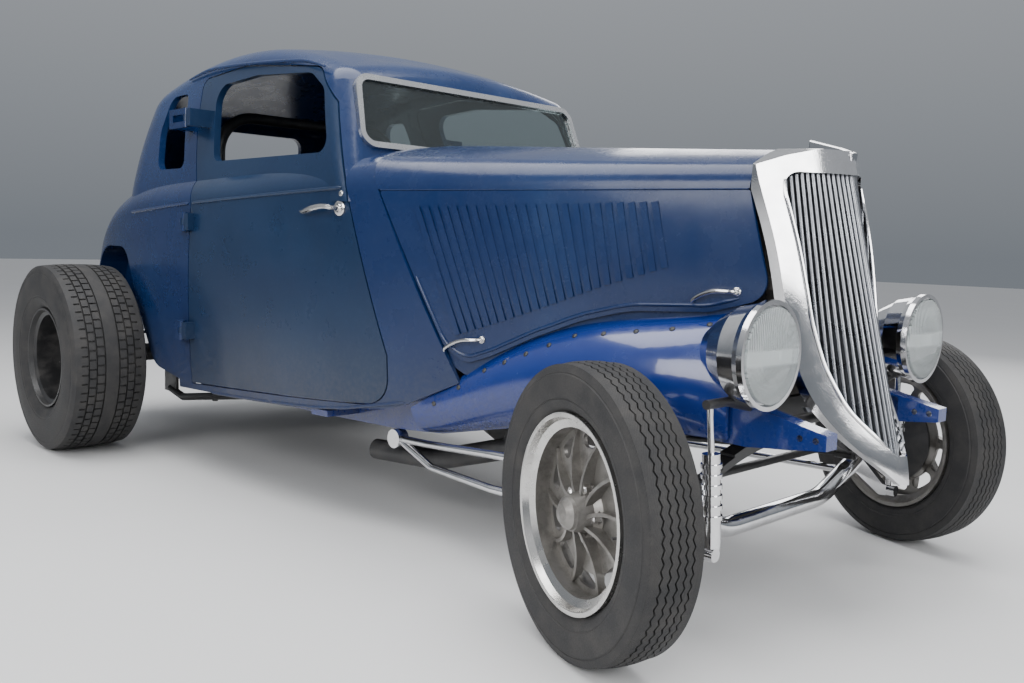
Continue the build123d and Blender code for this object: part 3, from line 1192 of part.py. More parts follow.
# Aprons: x, top z, how far the top edge lies inside the hood's skin, bulge y, bulge z, bottom y, bottom z
APRON_ROWS = (
    (-960.0, 400.0, 0.0, 476.0, 350.0, 427.0, 322.0),
    (-700.0, 572.0, APRON_TUCK, 452.0, 470.0, 388.5, 372.0),
    (-400.0, 697.0, APRON_TUCK, 430.0, 575.0, 358.0, 428.0),
    (-120.0, 737.0, APRON_TUCK, 388.0, 618.0, 343.0, 450.0),
    (60.0, 773.0, APRON_TUCK, 326.0, 610.0, 334.0, 458.0),
)


def build_aprons():
    """The painted inner fenders from the hood's lower edge down to the rails, cut round the cowl."""
    faces = []
    for x, tz, tuck, by, bz, ly, lz in APRON_ROWS:
        ty = hood_skin(x, tz) - tuck - APRON_SHEET
        with BuildSketch(Plane(origin=(x, 0, 0), x_dir=(0, 1, 0), z_dir=(1, 0, 0))) as sketch:
            with BuildLine():
                ThreePointArc((ty, tz), (by, bz), (ly, lz))
                Line((ly, lz), (ly + 10, lz))
                ThreePointArc((ly + 10, lz), (by + 10, bz + 2), (ty + APRON_SHEET, tz + 6))
                Line((ty + APRON_SHEET, tz + 6), (ty, tz))
            make_face()
        faces.append(sketch.sketch)
    cowl_room = behind_hood(-SEAT) - sill_cut(-SEAT)
    write("aprons", *both(loft(faces) - cowl_room))


def arm_tip(side):
    """Where a knuckle's arm carries the tie rod, at the parked angle."""
    turn = radians(STEER_REST)
    dx = -STEER_ARM * cos(turn) + side * sin(turn)
    dy = -STEER_ARM * sin(turn) - side * cos(turn)
    return dx, side * KINGPIN_Y + dy


def build_steering_links():
    """The tie rod, the drag link, the pitman arm and the steering box that moves them."""
    ends = [arm_tip(side) for side in (1, -1)]
    tie = rod((ends[1][0], ends[1][1], TIE_ROD_Z), (ends[0][0], ends[0][1], TIE_ROD_Z), TIE_ROD_R)
    for x, y in ends:
        stud = rod((x, y, TIE_ROD_Z), (x, y, ARM_Z + 7 + SEAT), 8)
        tie = fused(tie, Pos(x, y, TIE_ROD_Z) * Sphere(14.5), stud)
    write("tie_rod", tie)
    px, py = PITMAN_AT
    left_x, left_y = ends[0]
    tip_x, tip_y = left_x + px, left_y - KINGPIN_Y + py
    low, high = (left_x, left_y, DRAG_LOW_Z), (tip_x, tip_y, DRAG_HIGH_Z)
    studs = [rod(low, (left_x, left_y, ARM_Z - 7 - SEAT), 7),
             rod(high, (tip_x, tip_y, PITMAN_Z - 6 - SEAT), 7)]
    link = fused(rod(low, high, DRAG_R), Pos(*low) * Sphere(15), Pos(*high) * Sphere(15), *studs)
    write("drag_link", link)
    aim = degrees(atan2(tip_y - py, tip_x - px))
    beam = Rot(0, 0, aim) * Box(hypot(tip_x - px, tip_y - py), 22, 12)
    middle = Pos((px + tip_x) / 2, (py + tip_y) / 2, PITMAN_Z)
    arm = fused(Pos(px, py, PITMAN_Z) * Cylinder(24, 12), Pos(tip_x, tip_y, PITMAN_Z) * Cylinder(15, 12),
                middle * beam)
    write("pitman_arm", arm)
    case = fused(rod((px, py, PITMAN_Z + 6 + SEAT), (px, py, PITMAN_Z + 118), 40),
                 box((px - 34, -web_y(px + 34), PITMAN_Z + 46), (px + 34, py, PITMAN_Z + 100)))
    joint = column_point(-650)
    shaft = rod((px - 20, py - 20, PITMAN_Z + 80), joint, 9)
    column = rod(joint, column_point(-8 - SEAT), COLUMN_R)
    write("steering_column", fused(case, shaft, column, Pos(*joint) * Sphere(21)))


def main():
    """Build every sub-part and write it."""
    os.makedirs("parts", exist_ok=True)
    cab, cowl, tail, door, lid = build_body()
    fixed, moving = door_hinges(skin_y)
    low_hinges, high_hinges = fixed[:2], fixed[2:]
    write("cab", fused(cab, *[h for hinge in high_hinges for h in both(hinge)]))
    write("cowl", fused(cowl, hood_rod()))
    lid_fixed, lid_moving = lid_hinges()
    write("tail", fused(tail, *[h for hinge in low_hinges for h in both(hinge)], *lid_fixed))
    write("deck_lid", fused(lid, *lid_moving))
    door = fused(door, *moving)
    write("door_left", door)
    write("door_right", mirror(door, about=Plane.XZ))
    frame_piece, pane = build_windscreen()
    write("windscreen_frame", frame_piece)
    write("windscreen_glass", pane)
    build_hood()
    build_grille()
    build_lamps()
    build_frame()
    build_front_axle()
    build_front_spring()
    build_hairpins()
    build_shocks()
    for side in (1, -1):
        build_knuckle(side)
        build_front_wheel(side)
        build_rear_wheel(side)
    build_rear_axle()
    build_ladder_bars()
    build_drive_train()
    build_exhaust()
    build_floor()
    build_cabin()
    build_aprons()
    build_steering_links()


main()
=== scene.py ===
"""The looks of the hot rod coupe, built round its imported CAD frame.

Every length is in metres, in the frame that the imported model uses: +X toward the grille, +Y to the
car's left, +Z up, with the origin on the ground under the middle of the car.
"""

import logging
import math
from dataclasses import dataclass, field
from enum import Enum
from typing import Any, Callable, ClassVar, Sequence

import bpy
from mathutils import Matrix, Vector


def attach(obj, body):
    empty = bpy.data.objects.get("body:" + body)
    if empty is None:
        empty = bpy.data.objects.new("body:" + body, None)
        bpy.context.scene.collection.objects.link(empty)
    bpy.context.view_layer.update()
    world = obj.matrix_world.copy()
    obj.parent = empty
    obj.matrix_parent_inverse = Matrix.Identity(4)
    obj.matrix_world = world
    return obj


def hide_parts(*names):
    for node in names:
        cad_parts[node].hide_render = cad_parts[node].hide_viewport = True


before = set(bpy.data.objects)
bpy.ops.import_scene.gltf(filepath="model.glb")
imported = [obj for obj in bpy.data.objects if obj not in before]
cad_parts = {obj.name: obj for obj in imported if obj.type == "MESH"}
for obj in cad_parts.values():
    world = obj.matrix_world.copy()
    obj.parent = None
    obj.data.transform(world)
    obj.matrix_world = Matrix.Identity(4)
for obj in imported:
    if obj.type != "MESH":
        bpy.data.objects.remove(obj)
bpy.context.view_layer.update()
LOG = logging.getLogger("coupe")

Point = tuple[float, float, float]
Colour = tuple[float, float, float]
Flat = tuple[float, float]

# The front axle's place along X, then the wheels: kingpins and hubs from the car's middle plane.
SHIFT = 1.568
STEER = -18.0
KINGPIN_Y = 0.662
KINGPIN_REACH = 0.078
FRONT_RADIUS = 0.332
REAR_X = SHIFT - 2.845
REAR_Y = 0.831
REAR_RADIUS = 0.388

# How often a panel's edge is halved towards, which leaves it within a fifth of a millimetre.
HALVINGS = 9

DOORS = ("door_left", "door_right")
HOOD_SIDES = ("hood_side_left", "hood_side_right")
BODY_PANELS = (*DOORS, "cab", "cowl", "tail")


# Shader maths


class Field:
    """A node's output that Python expressions can be written on."""

    def __init__(self, maker: "Maker", socket: Any) -> None:
        """Keep the socket and the maker that adds nodes after it."""
        self.maker = maker
        self.socket = socket

    def _math(self, operation: str, *values: Any) -> "Field":
        """Add one Math node with these inputs."""
        return self.maker.node("ShaderNodeMath", {"operation": operation}, dict(enumerate(values)))

    def __add__(self, other: Any) -> "Field":
        """Sum of two fields."""
        return self._math("ADD", self, other)

    def __rsub__(self, other: Any) -> "Field":
        """A number less this field."""
        return self._math("SUBTRACT", other, self)

    def __mul__(self, other: Any) -> "Field":
        """Product of two fields."""
        return self._math("MULTIPLY", self, other)

    def __pow__(self, other: Any) -> "Field":
        """This field raised to a power."""
        return self._math("POWER", self, other)

    def clamped(self) -> "Field":
        """This field held between nought and one."""
        return self.maker.node("ShaderNodeMath", {"operation": "ADD", "use_clamp": True}, {0: self, 1: 0.0})

    def wave(self) -> "Field":
        """Sine of this field."""
        return self._math("SINE", self)

    def size(self) -> "Field":
        """Absolute value of this field."""
        return self._math("ABSOLUTE", self)


class Maker:
    """Adds nodes to one material's tree."""

    def __init__(self, name: str) -> None:
        """Start a material of that name with an empty tree.

        Args:
            name: the material's name.
        """
        self.material = bpy.data.materials.new(name)
        self.material.use_nodes = True
        self.tree = self.material.node_tree
        self.tree.nodes.clear()

    def node(self, kind: str, settings: dict[str, Any] | None = None, inputs: dict[Any, Any] | None = None,
             out: int | str = 0) -> Field:
        """Add one node, with its settings before its sockets.

        Args:
            kind: the node's type.
            settings: properties by name; "stops" gives a colour ramp's (position, colour) rows.
            inputs: values or fields by the socket's name or number.
            out: which output the field stands for.

        Returns:
            The chosen output as a field.
        """
        made = self.tree.nodes.new(kind)
        for key, value in (settings or {}).items():
            if key == "stops":
                ramp = made.color_ramp
                while len(ramp.elements) < len(value):
                    ramp.elements.new(0.5)
                for element, (position, colour) in zip(ramp.elements, value):
                    element.position = position
                    element.color = (*colour, 1.0)
            else:
                setattr(made, key, value)
        for key, value in (inputs or {}).items():
            socket = made.inputs[key]
            if isinstance(value, Field):
                self.tree.links.new(value.socket, socket)
            elif isinstance(value, tuple) and len(value) == 3 and len(socket.default_value) == 4:
                socket.default_value = (*value, 1.0)
            else:
                socket.default_value = value
        return Field(self, made.outputs[out])

    def place(self) -> Field:
        """Object coordinates in metres."""
        return self.node("ShaderNodeTexCoord", out="Object")

    def turned(self, at: Field, turn: Point = (0, 0, 0), scale: Point = (1, 1, 1),
               shift: Point = (0, 0, 0)) -> Field:
        """Coordinates moved, turned and scaled."""
        inputs = {"Vector": at, "Location": shift, "Rotation": turn, "Scale": scale}
        return self.node("ShaderNodeMapping", {}, inputs)

    def noise(self, at: Field, scale: float, detail: float = 3.0, rough: float = 0.5,
              warp: float = 0.0) -> Field:
        """Soft noise between about nought and one."""
        inputs = {"Vector": at, "Scale": scale, "Detail": detail, "Roughness": rough, "Distortion": warp}
        return self.node("ShaderNodeTexNoise", {}, inputs)

    def axis(self, at: Field, which: int) -> Field:
        """One coordinate."""
        return self.node("ShaderNodeSeparateXYZ", {}, {0: at}, out=which)

    def ramp(self, value: Field, low: float, high: float, to_low: float = 0.0,
             to_high: float = 1.0) -> Field:
        """A field mapped between two ranges and held there."""
        inputs = {0: value, 1: low, 2: high, 3: to_low, 4: to_high}
        return self.node("ShaderNodeMapRange", {"clamp": True}, inputs)

    def mix(self, share: Any, one: Any, other: Any) -> Field:
        """Two colours mixed."""
        return self.node("ShaderNodeMix", {"data_type": "RGBA"}, {0: share, 6: one, 7: other}, out=2)

    def bump(self, height: Field, depth: float, strength: float = 1.0, under: Field | None = None) -> Field:
        """A normal bumped by a height field, over another if given."""
        inputs: dict[Any, Any] = {"Strength": strength, "Distance": depth, "Height": height}
        if under is not None:
            inputs["Normal"] = under
        return self.node("ShaderNodeBump", {}, inputs)

    def finish(self, **sockets: Any) -> bpy.types.Material:
        """Close the tree with one principled shader.

        Args:
            sockets: shader inputs, with underscores for spaces.

        Returns:
            The finished material.
        """
        inputs = {name.replace("_", " "): value for name, value in sockets.items()}
        shader = self.node("ShaderNodeBsdfPrincipled", {}, inputs)
        made = self.tree.nodes.new("ShaderNodeOutputMaterial")
        self.tree.links.new(shader.socket, made.inputs["Surface"])
        return self.material


# Finishes


@dataclass(frozen=True)
class Finish:
    """A named surface finish that makes its material once."""

    name: str
    made: ClassVar[dict[str, bpy.types.Material]] = {}

    def material(self) -> bpy.types.Material:
        """The finish's material, made the first time it is asked for."""
        if self.name not in self.made:
            self.made[self.name] = self.build(Maker(self.name))
        return self.made[self.name]

    def build(self, m: Maker) -> bpy.types.Material:
        """Build the material; each finish has its own."""
        raise NotImplementedError


@dataclass(frozen=True)
class WornPaint(Finish):
    """Old satin car paint with fading, chips, dents and a thin coat of dust.

    Attributes:
        colour: the fresh paint.
        faded: the paint where the sun has had it.
        dull: roughness of the worn paint.
        dents: depth of the long dents in metres.
        chips: share of the surface that is chipped, small.
        coat: weight of the clear gloss over it.
        upper_fade: how far the roof is faded.
    """

    colour: Colour = (0.0035, 0.0160, 0.066)
    faded: Colour = (0.0100, 0.0340, 0.105)
    dull: float = 0.27
    dents: float = 0.004
    chips: float = 0.004
    coat: float = 0.22
    upper_fade: float = 0.45

    def build(self, m: Maker) -> bpy.types.Material:
        """Mix fresh and faded paint by height and noise, with chips to primer."""
        at = m.place()
        z = m.axis(at, 2)
        broad = m.noise(at, 1.7, 4.0, 0.55, 0.4)
        mottle = m.noise(at, 9.0, 6.0, 0.62)
        fine = m.noise(at, 70.0, 4.0, 0.6)
        high = m.ramp(z, 1.30, 1.62, 0.0, self.upper_fade)
        fade = (m.ramp(broad, 0.46, 0.74, 0.0, 0.55) + high * m.ramp(mottle, 0.35, 0.65, 0.5, 1.0)).clamped()
        paint = m.mix(fade, self.colour, self.faded)
        paint = m.mix(m.ramp(fine, 0.52, 0.80, 0.0, 0.10), paint, (0.05, 0.08, 0.16))
        scratch_at = m.turned(at, turn=(0.2, 0.15, 0.4), scale=(2.2, 2.2, 26.0))
        scratch = m.ramp(m.noise(scratch_at, 14.0, 5.0, 0.7), 0.72, 0.77)
        spots = m.node("ShaderNodeTexVoronoi", {"feature": "F1"}, {"Vector": at, "Scale": 46.0})
        chip = m.ramp(spots, 0.10 + self.chips, 0.02) * m.ramp(mottle, 0.56, 0.66)
        worn = (chip + scratch * 0.25).clamped()
        colour = m.mix(worn, paint, (0.16, 0.18, 0.22))
        low = m.ramp(z, 0.62, 0.30) * m.ramp(fine, 0.3, 0.6, 0.2, 0.9)
        colour = m.mix(low * 0.55, colour, (0.075, 0.070, 0.066))
        rough = m.ramp(mottle, 0.3, 0.7, self.dull - 0.06, self.dull + 0.08) + worn * 0.2 + low * 0.25
        dented = m.noise(m.turned(at, scale=(1.0, 1.0, 1.4)), 3.6, 2.0, 0.4)
        normal = m.bump(dented, self.dents, 0.55)
        normal = m.bump(m.noise(at, 260.0, 2.0), 0.0002, 0.25, under=normal)
        return m.finish(Base_Color=colour, Roughness=rough, Normal=normal, Coat_Weight=(1 - worn) * self.coat,
                        Coat_Roughness=0.12, Specular_IOR_Level=0.32)


@dataclass(frozen=True)
class GlossPaint(Finish):
    """Bright gloss enamel with road film in its lower parts."""

    colour: Colour = (0.003, 0.020, 0.150)

    def build(self, m: Maker) -> bpy.types.Material:
        """Gloss enamel, slightly mottled, with grime toward the ground."""
        at = m.place()
        mottle = m.noise(at, 12.0, 5.0, 0.6)
        fine = m.noise(at, 85.0, 4.0, 0.6)
        grime = m.ramp(m.axis(at, 2), 0.55, 0.28) * m.ramp(fine, 0.35, 0.65)
        colour = m.mix(m.ramp(mottle, 0.4, 0.75, 0.0, 0.35), self.colour, (0.006, 0.030, 0.180))
        colour = m.mix(grime * 0.6, colour, (0.05, 0.05, 0.055))
        rough = m.ramp(mottle, 0.3, 0.7, 0.16, 0.30) + grime * 0.35
        normal = m.bump(m.noise(at, 30.0, 2.0), 0.0007, 0.3)
        return m.finish(Base_Color=colour, Roughness=rough, Normal=normal, Coat_Weight=0.8,
                        Coat_Roughness=0.05)


@dataclass(frozen=True)
class Bright(Finish):
    """Polished or plated metal with faint smears, and pits where it is old."""

    colour: Colour = (0.78, 0.78, 0.79)
    rough: float = 0.07
    smear: float = 0.10
    pits: float = 0.0003

    def build(self, m: Maker) -> bpy.types.Material:
        """Metal whose gloss is broken by smears."""
        at = m.place()
        smear = m.ramp(m.noise(at, 16.0, 5.0, 0.65), 0.42, 0.78)
        pitted = m.noise(at, 240.0, 3.0, 0.6)
        tint = m.mix(smear * 0.5, self.colour, tuple(c * 0.62 for c in self.colour))
        return m.finish(Base_Color=tint, Metallic=1.0, Roughness=smear * self.smear + self.rough,
                        Normal=m.bump(pitted, self.pits, 0.35))


@dataclass(frozen=True)
class Cast(Finish):
    """Sand-cast light alloy, open grained and a little stained."""

    colour: Colour = (0.27, 0.26, 0.245)
    stain: Colour = (0.11, 0.10, 0.09)
    rough: float = 0.42
    grain: float = 0.0008

    def build(self, m: Maker) -> bpy.types.Material:
        """Grainy metal with stains in its hollows."""
        at = m.place()
        grain = m.noise(at, 320.0, 3.0, 0.7)
        stain = m.ramp(m.noise(at, 22.0, 6.0, 0.65), 0.45, 0.72)
        colour = m.mix(stain * 0.7, self.colour, self.stain)
        rough = m.ramp(grain, 0.3, 0.7, self.rough - 0.08, self.rough + 0.12) + stain * 0.12
        return m.finish(Base_Color=colour, Metallic=0.85, Roughness=rough,
                        Normal=m.bump(grain, self.grain, 0.5))


@dataclass(frozen=True)
class Black(Finish):
    """Satin black paint on steel with dust and worn edges."""

    colour: Colour = (0.014, 0.014, 0.015)
    rough: float = 0.42

    def build(self, m: Maker) -> bpy.types.Material:
        """Dusty black paint."""
        at = m.place()
        dust = m.ramp(m.noise(at, 18.0, 6.0, 0.65), 0.45, 0.75)
        colour = m.mix(dust * 0.5, self.colour, (0.085, 0.080, 0.074))
        normal = m.bump(m.noise(at, 180.0, 3.0), 0.0004, 0.4)
        return m.finish(Base_Color=colour, Roughness=dust * 0.3 + self.rough, Normal=normal, Coat_Weight=0.15,
                        Coat_Roughness=0.3)


@dataclass(frozen=True)
class Rubber(Finish):
    """Tyre rubber, browned and dusty on its tread."""

    dusty: Colour = (0.060, 0.056, 0.052)

    def cuts(self, m: Maker, at: Field) -> Field | None:
        """Height of the cuts in the tread, nought in a cut; plain rubber has none."""
        return None

    def build(self, m: Maker) -> bpy.types.Material:
        """Black rubber with dust, fine moulding grain and any cuts, the cuts painted darker as painted shade.
        """
        at = m.place()
        cut = self.cuts(m, at)
        dust = m.ramp(m.noise(at, 14.0, 7.0, 0.68), 0.40, 0.72)
        fine = m.noise(at, 300.0, 3.0, 0.6)
        colour = m.mix(dust * 0.65, (0.022, 0.022, 0.023), self.dusty)
        normal = m.bump(fine, 0.0004, 0.5)
        if cut is not None:
            # Painted shade: the rubber's colour is darkened inside the cuts.
            colour = m.mix((1 - cut) * 0.7, colour, (0.006, 0.006, 0.006))
            normal = m.bump(cut, 0.0015, 0.8, under=normal)
        rough = m.ramp(fine, 0.3, 0.7, 0.52, 0.72) + dust * 0.1
        return m.finish(Base_Color=colour, Roughness=rough, Normal=normal, Specular_IOR_Level=0.35)


@dataclass(frozen=True)
class TreadRubber(Rubber):
    """Tyre rubber with fine slanted cuts across the tread of one wheel.

    Attributes:
        centre: the wheel's middle.
        turn: how far the wheel is steered, in degrees.
        radius: the tread's radius.
        count: how many cuts go round the tyre.
        slant: how far a cut runs round the tyre over its length, in radians a metre.
    """

    centre: Point = (0.0, 0.0, 0.0)
    turn: float = 0.0
    radius: float = FRONT_RADIUS
    count: int = 190
    slant: float = 9.0

    def cuts(self, m: Maker, at: Field) -> Field | None:
        """Slanted cuts, as a V over the tread's middle, which fade out below the tread."""
        turn = math.radians(self.turn)
        moved = -(Matrix.Rotation(-turn, 3, "Z") @ Vector(self.centre))
        local = m.turned(at, turn=(0, 0, -turn), shift=tuple(moved))
        x, y, z = (m.axis(local, which) for which in range(3))
        angle = m.node("ShaderNodeMath", {"operation": "ARCTAN2"}, {0: z, 1: x})
        phase = angle * (self.count / 2) + y.size() * (self.slant * self.count / 2)
        cut = m.ramp(phase.wave().size(), 0.10, 0.32)
        edge = m.ramp((x * x + z * z) ** 0.5, self.radius - 0.012, self.radius - 0.007)
        return 1 - (1 - cut) * edge


@dataclass(frozen=True)
class LampGlass(Finish):
    """Pressed lamp glass: upright flutes above its middle band and finer ones below, with painted shade in
    their valleys.

    Attributes:
        lamp_z: height of the lamps' middle.
        coarse: two flutes' width above the band.
        tight: two flutes' width below it.
    """

    lamp_z: float = 0.681
    coarse: float = 0.0145
    tight: float = 0.0078

    def build(self, m: Maker) -> bpy.types.Material:
        """Clear glass bumped by two sets of flutes and a band between them, painted darker in the flute
        valleys as painted shade.
        """
        at = m.place()
        y, z = m.axis(at, 1), m.axis(at, 2)
        up = m.ramp(z, self.lamp_z + 0.012, self.lamp_z + 0.020)
        down = m.ramp(z, self.lamp_z - 0.016, self.lamp_z - 0.024)
        coarse = (y * (2 * math.pi / self.coarse)).wave().size() * up
        tight = (y * (2 * math.pi / self.tight)).wave().size() * down
        flutes = coarse + tight * 0.7
        # Painted shade: the glass's colour is darkened in the flute valleys and kept light on the ridges and
        # the band.
        painted_flute_light = m.ramp(flutes, 0.02, 0.40) + (1 - up) * (1 - down)
        tint = m.mix(painted_flute_light.clamped(), (0.30, 0.35, 0.36), (0.88, 0.93, 0.93))
        normal = m.bump(flutes, 0.0035, 0.9)
        return m.finish(Base_Color=tint, Roughness=0.03, Transmission_Weight=0.68, IOR=1.5,
                        Normal=normal)


@dataclass(frozen=True)
class ClearGlass(Finish):
    """Flat window glass with a film of dust, its tint darkened partly as glass tint and partly as painted
    shade of the cabin behind.
    """

    # Partly painted shade: the dark tint stands in for the shaded cabin seen through the glass.
    tint: Colour = (0.34, 0.42, 0.43)

    def build(self, m: Maker) -> bpy.types.Material:
        """Clear glass, dustier at its edges."""
        dust = m.ramp(m.noise(m.place(), 7.0, 6.0, 0.65), 0.40, 0.80)
        return m.finish(Base_Color=self.tint, Roughness=dust * 0.012 + 0.002, Transmission_Weight=0.97,
                        IOR=1.45)


@dataclass(frozen=True)
class Trim(Finish):
    """Grained covering of the seats and other cabin pieces."""

    colour: Colour = (0.020, 0.020, 0.022)
    grain: float = 230.0

    def build(self, m: Maker) -> bpy.types.Material:
        """Fine pebbled grain with soft wear."""
        at = m.place()
        cell = m.node("ShaderNodeTexVoronoi", {"feature": "DISTANCE_TO_EDGE"},
                      {"Vector": at, "Scale": self.grain})
        wear = m.ramp(m.noise(at, 8.0, 5.0, 0.6), 0.45, 0.75)
        colour = m.mix(wear * 0.5, self.colour, tuple(c * 2.6 + 0.01 for c in self.colour))
        return m.finish(Base_Color=colour, Roughness=m.ramp(cell, 0.0, 0.3, 0.62, 0.42),
                        Normal=m.bump(cell, 0.0006, 0.6))


@dataclass(frozen=True)
class StudioFloor(Finish):
    """The pale floor under the car."""

    def build(self, m: Maker) -> bpy.types.Material:
        """Plain pale matte."""
        cloud = m.noise(m.place(), 1.2, 3.0)
        shade = m.mix(cloud, (0.60, 0.60, 0.60), (0.64, 0.64, 0.64))
        return m.finish(Base_Color=shade, Roughness=0.75)


BODY_BLUE = WornPaint("body_blue")
HOOD_BLUE = WornPaint("hood_blue", colour=(0.0035, 0.0160, 0.066), dull=0.25, dents=0.005, upper_fade=0.0)
DOOR_BLUE = WornPaint("door_blue", colour=(0.0040, 0.0170, 0.050), faded=(0.0100, 0.0300, 0.074), dull=0.30,
                      dents=0.003)
APRON_BLUE = GlossPaint("apron_blue")
CHROME = Bright("chrome")
OLD_CHROME = Bright("old_chrome", colour=(0.62, 0.61, 0.60), rough=0.14, smear=0.22, pits=0.0006)
SCREEN_METAL = Bright("screen_metal", colour=(0.70, 0.71, 0.72), rough=0.22, smear=0.15)
GRILLE_GREY = Bright("grille_grey", colour=(0.26, 0.27, 0.29), rough=0.26, smear=0.20)
LIP_METAL = Bright("lip_metal", colour=(0.66, 0.65, 0.63), rough=0.20, smear=0.18)
MAGNESIUM = Cast("magnesium")
IRON = Cast("iron", colour=(0.10, 0.095, 0.09), stain=(0.05, 0.035, 0.03), rough=0.6)
CHASSIS_BLACK = Black("chassis_black")
TYRE_RUBBER = Rubber("tyre_rubber")
LAMP_GLASS = LampGlass("lamp_glass")
WINDOW_GLASS = ClearGlass("window_glass")
SEAT_TRIM = Trim("seat_trim")
FLOOR_TRIM = Trim("floor_trim", colour=(0.030, 0.029, 0.030), grain=120.0)


def dress(finish: Finish, *nodes: str) -> None:
    """Give CAD nodes a finish.

    Args:
        finish: the finish to use.
        nodes: names of CAD nodes.
    """
    for name in nodes:
        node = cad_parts[name]
        if not node.material_slots:
            node.data.materials.append(finish.material())
        for slot in node.material_slots:
            slot.material = finish.material()
        LOG.info("dressed %s in %s", name, finish.name)


# Modelling helpers


class Bench:
    """One mesh on the bench, shaped with Blender's edit tools."""

    def __init__(self, name: str) -> None:
        """Clear the selection and remember the piece's name.

        Args:
            name: the finished piece's name.
        """
        bpy.ops.object.select_all(action="DESELECT")
        self.name = name

    @property
    def piece(self) -> bpy.types.Object:
        """The object in hand."""
        return bpy.context.view_layer.objects.active

    def done(self) -> None:
        """Leave edit mode."""
        bpy.ops.object.mode_set(mode="OBJECT")

    def line(self, points: Sequence[Point]) -> None:
        """Lay down an open line of edges through some points.

        Args:
            points: the line's corners.
        """
        bpy.context.tool_settings.mesh_select_mode = (True, False, False)
        bpy.ops.mesh.primitive_plane_add(size=0.001, location=points[0])
        bpy.ops.object.transform_apply(location=True, rotation=True, scale=True)
        bpy.ops.object.mode_set(mode="EDIT")
        bpy.ops.mesh.select_all(action="SELECT")
        bpy.ops.mesh.merge(type="CENTER")
        for start, end in zip(points, points[1:]):
            step = tuple(b - a for a, b in zip(start, end))
            bpy.ops.mesh.extrude_region_move(TRANSFORM_OT_translate={"value": step})

    def lathe(self, profile: Sequence[Flat], steps: int) -> None:
        """Spin a profile about the Y axis.

        Args:
            profile: (along Y, radius) rows.
            steps: how many faces round.
        """
        self.line([(radius, along, 0.0) for along, radius in profile])
        bpy.ops.mesh.select_all(action="SELECT")
        bpy.ops.mesh.spin(steps=steps, angle=2 * math.pi, center=(0, 0, 0), axis=(0, 1, 0))
        self.weld()

    def weld(self) -> None:
        """Merge doubled points and turn every face outward."""
        bpy.ops.object.mode_set(mode="EDIT")
        bpy.ops.mesh.select_all(action="SELECT")
        bpy.ops.mesh.remove_doubles(threshold=0.00002)
        bpy.ops.mesh.normals_make_consistent(inside=False)
        self.done()

    def tube(self, points: Sequence[Vector], radius: float, swell: Sequence[float]) -> None:
        """Draw a rounded curve along some points and give it a round section.

        Args:
            points: the curve's control points.
            radius: of the section.
            swell: a factor on the radius at each point.
        """
        bpy.ops.curve.primitive_nurbs_path_add(radius=1.0, location=(0, 0, 0))
        curve = self.piece.data
        curve.splines.clear()
        spline = curve.splines.new("NURBS")
        spline.points.add(len(points) - 1)
        for control, point, factor in zip(spline.points, points, swell):
            control.co = (*point, 1.0)
            control.radius = factor
        spline.order_u = min(3, len(points))
        spline.use_endpoint_u = True
        curve.dimensions = "3D"
        curve.resolution_u = 3
        curve.bevel_depth = radius
        curve.bevel_resolution = 3
        curve.use_fill_caps = True
        bpy.ops.object.convert(target="MESH")
        self.weld()

    def hexagon(self, radius: float, height: float) -> None:
        """A hexagonal head along +Y with a washer face under it and a small dome on top."""
        bpy.ops.mesh.primitive_cylinder_add(vertices=6, radius=radius, depth=height,
                                            location=(0, height / 2, 0), rotation=(-math.pi / 2, 0, 0))
        bpy.ops.object.transform_apply(location=True, rotation=True, scale=True)
        self.pick_faces(lambda face: face.normal.y > 0.9)
        bpy.ops.mesh.inset(thickness=radius * 0.22, depth=0.0)
        bpy.ops.mesh.inset(thickness=radius * 0.2, depth=height * 0.18)
        self.pick_faces(lambda face: face.normal.y < -0.9)
        bpy.ops.mesh.inset(thickness=0.0, depth=0.0)
        bpy.ops.transform.resize(value=(1.3, 1.0, 1.3), center_override=(0, 0, 0))
        self.weld()

    def repeat(self, places: Sequence[Matrix]) -> None:
        """Copy the piece to each place, each copy with its own mesh, and join the copies.

        Args:
            places: where the copies go.
        """
        first = self.piece
        made = []
        for place in places:
            copy = first.copy()
            copy.data = first.data.copy()
            copy.data.transform(place)
            if place.is_negative:
                copy.data.flip_normals()
            bpy.context.scene.collection.objects.link(copy)
            made.append(copy)
        bpy.data.objects.remove(first)
        bpy.ops.object.select_all(action="DESELECT")
        for copy in made:
            copy.select_set(True)
        bpy.context.view_layer.objects.active = made[0]
        if len(made) > 1:
            bpy.ops.object.join()

    def pick_vertices(self, test: Callable[[Vector], bool]) -> None:
        """Go into edit mode with only the vertices selected that pass a test on their place."""
        self.done()
        bpy.context.tool_settings.mesh_select_mode = (True, False, False)
        mesh = self.piece.data
        for vertex in mesh.vertices:
            vertex.select = test(vertex.co)
        for parts in (mesh.edges, mesh.polygons):
            for part in parts:
                part.select = all(mesh.vertices[i].select for i in part.vertices)
        bpy.ops.object.mode_set(mode="EDIT")

    def pick_faces(self, test: Callable[[Any], bool]) -> None:
        """Go into edit mode with only the faces selected that pass a test."""
        self.done()
        bpy.context.tool_settings.mesh_select_mode = (False, False, True)
        mesh = self.piece.data
        for parts in (mesh.vertices, mesh.edges):
            for part in parts:
                part.select = False
        for face in mesh.polygons:
            face.select = test(face)
        bpy.ops.object.mode_set(mode="EDIT")

    def modify(self, kind: str, **settings: Any) -> None:
        """Add a modifier and apply it.

        Args:
            kind: the modifier's type.
            settings: its properties.
        """
        modifier = self.piece.modifiers.new(kind.lower(), kind)
        for key, value in settings.items():
            setattr(modifier, key, value)
        bpy.ops.object.modifier_apply(modifier=modifier.name)

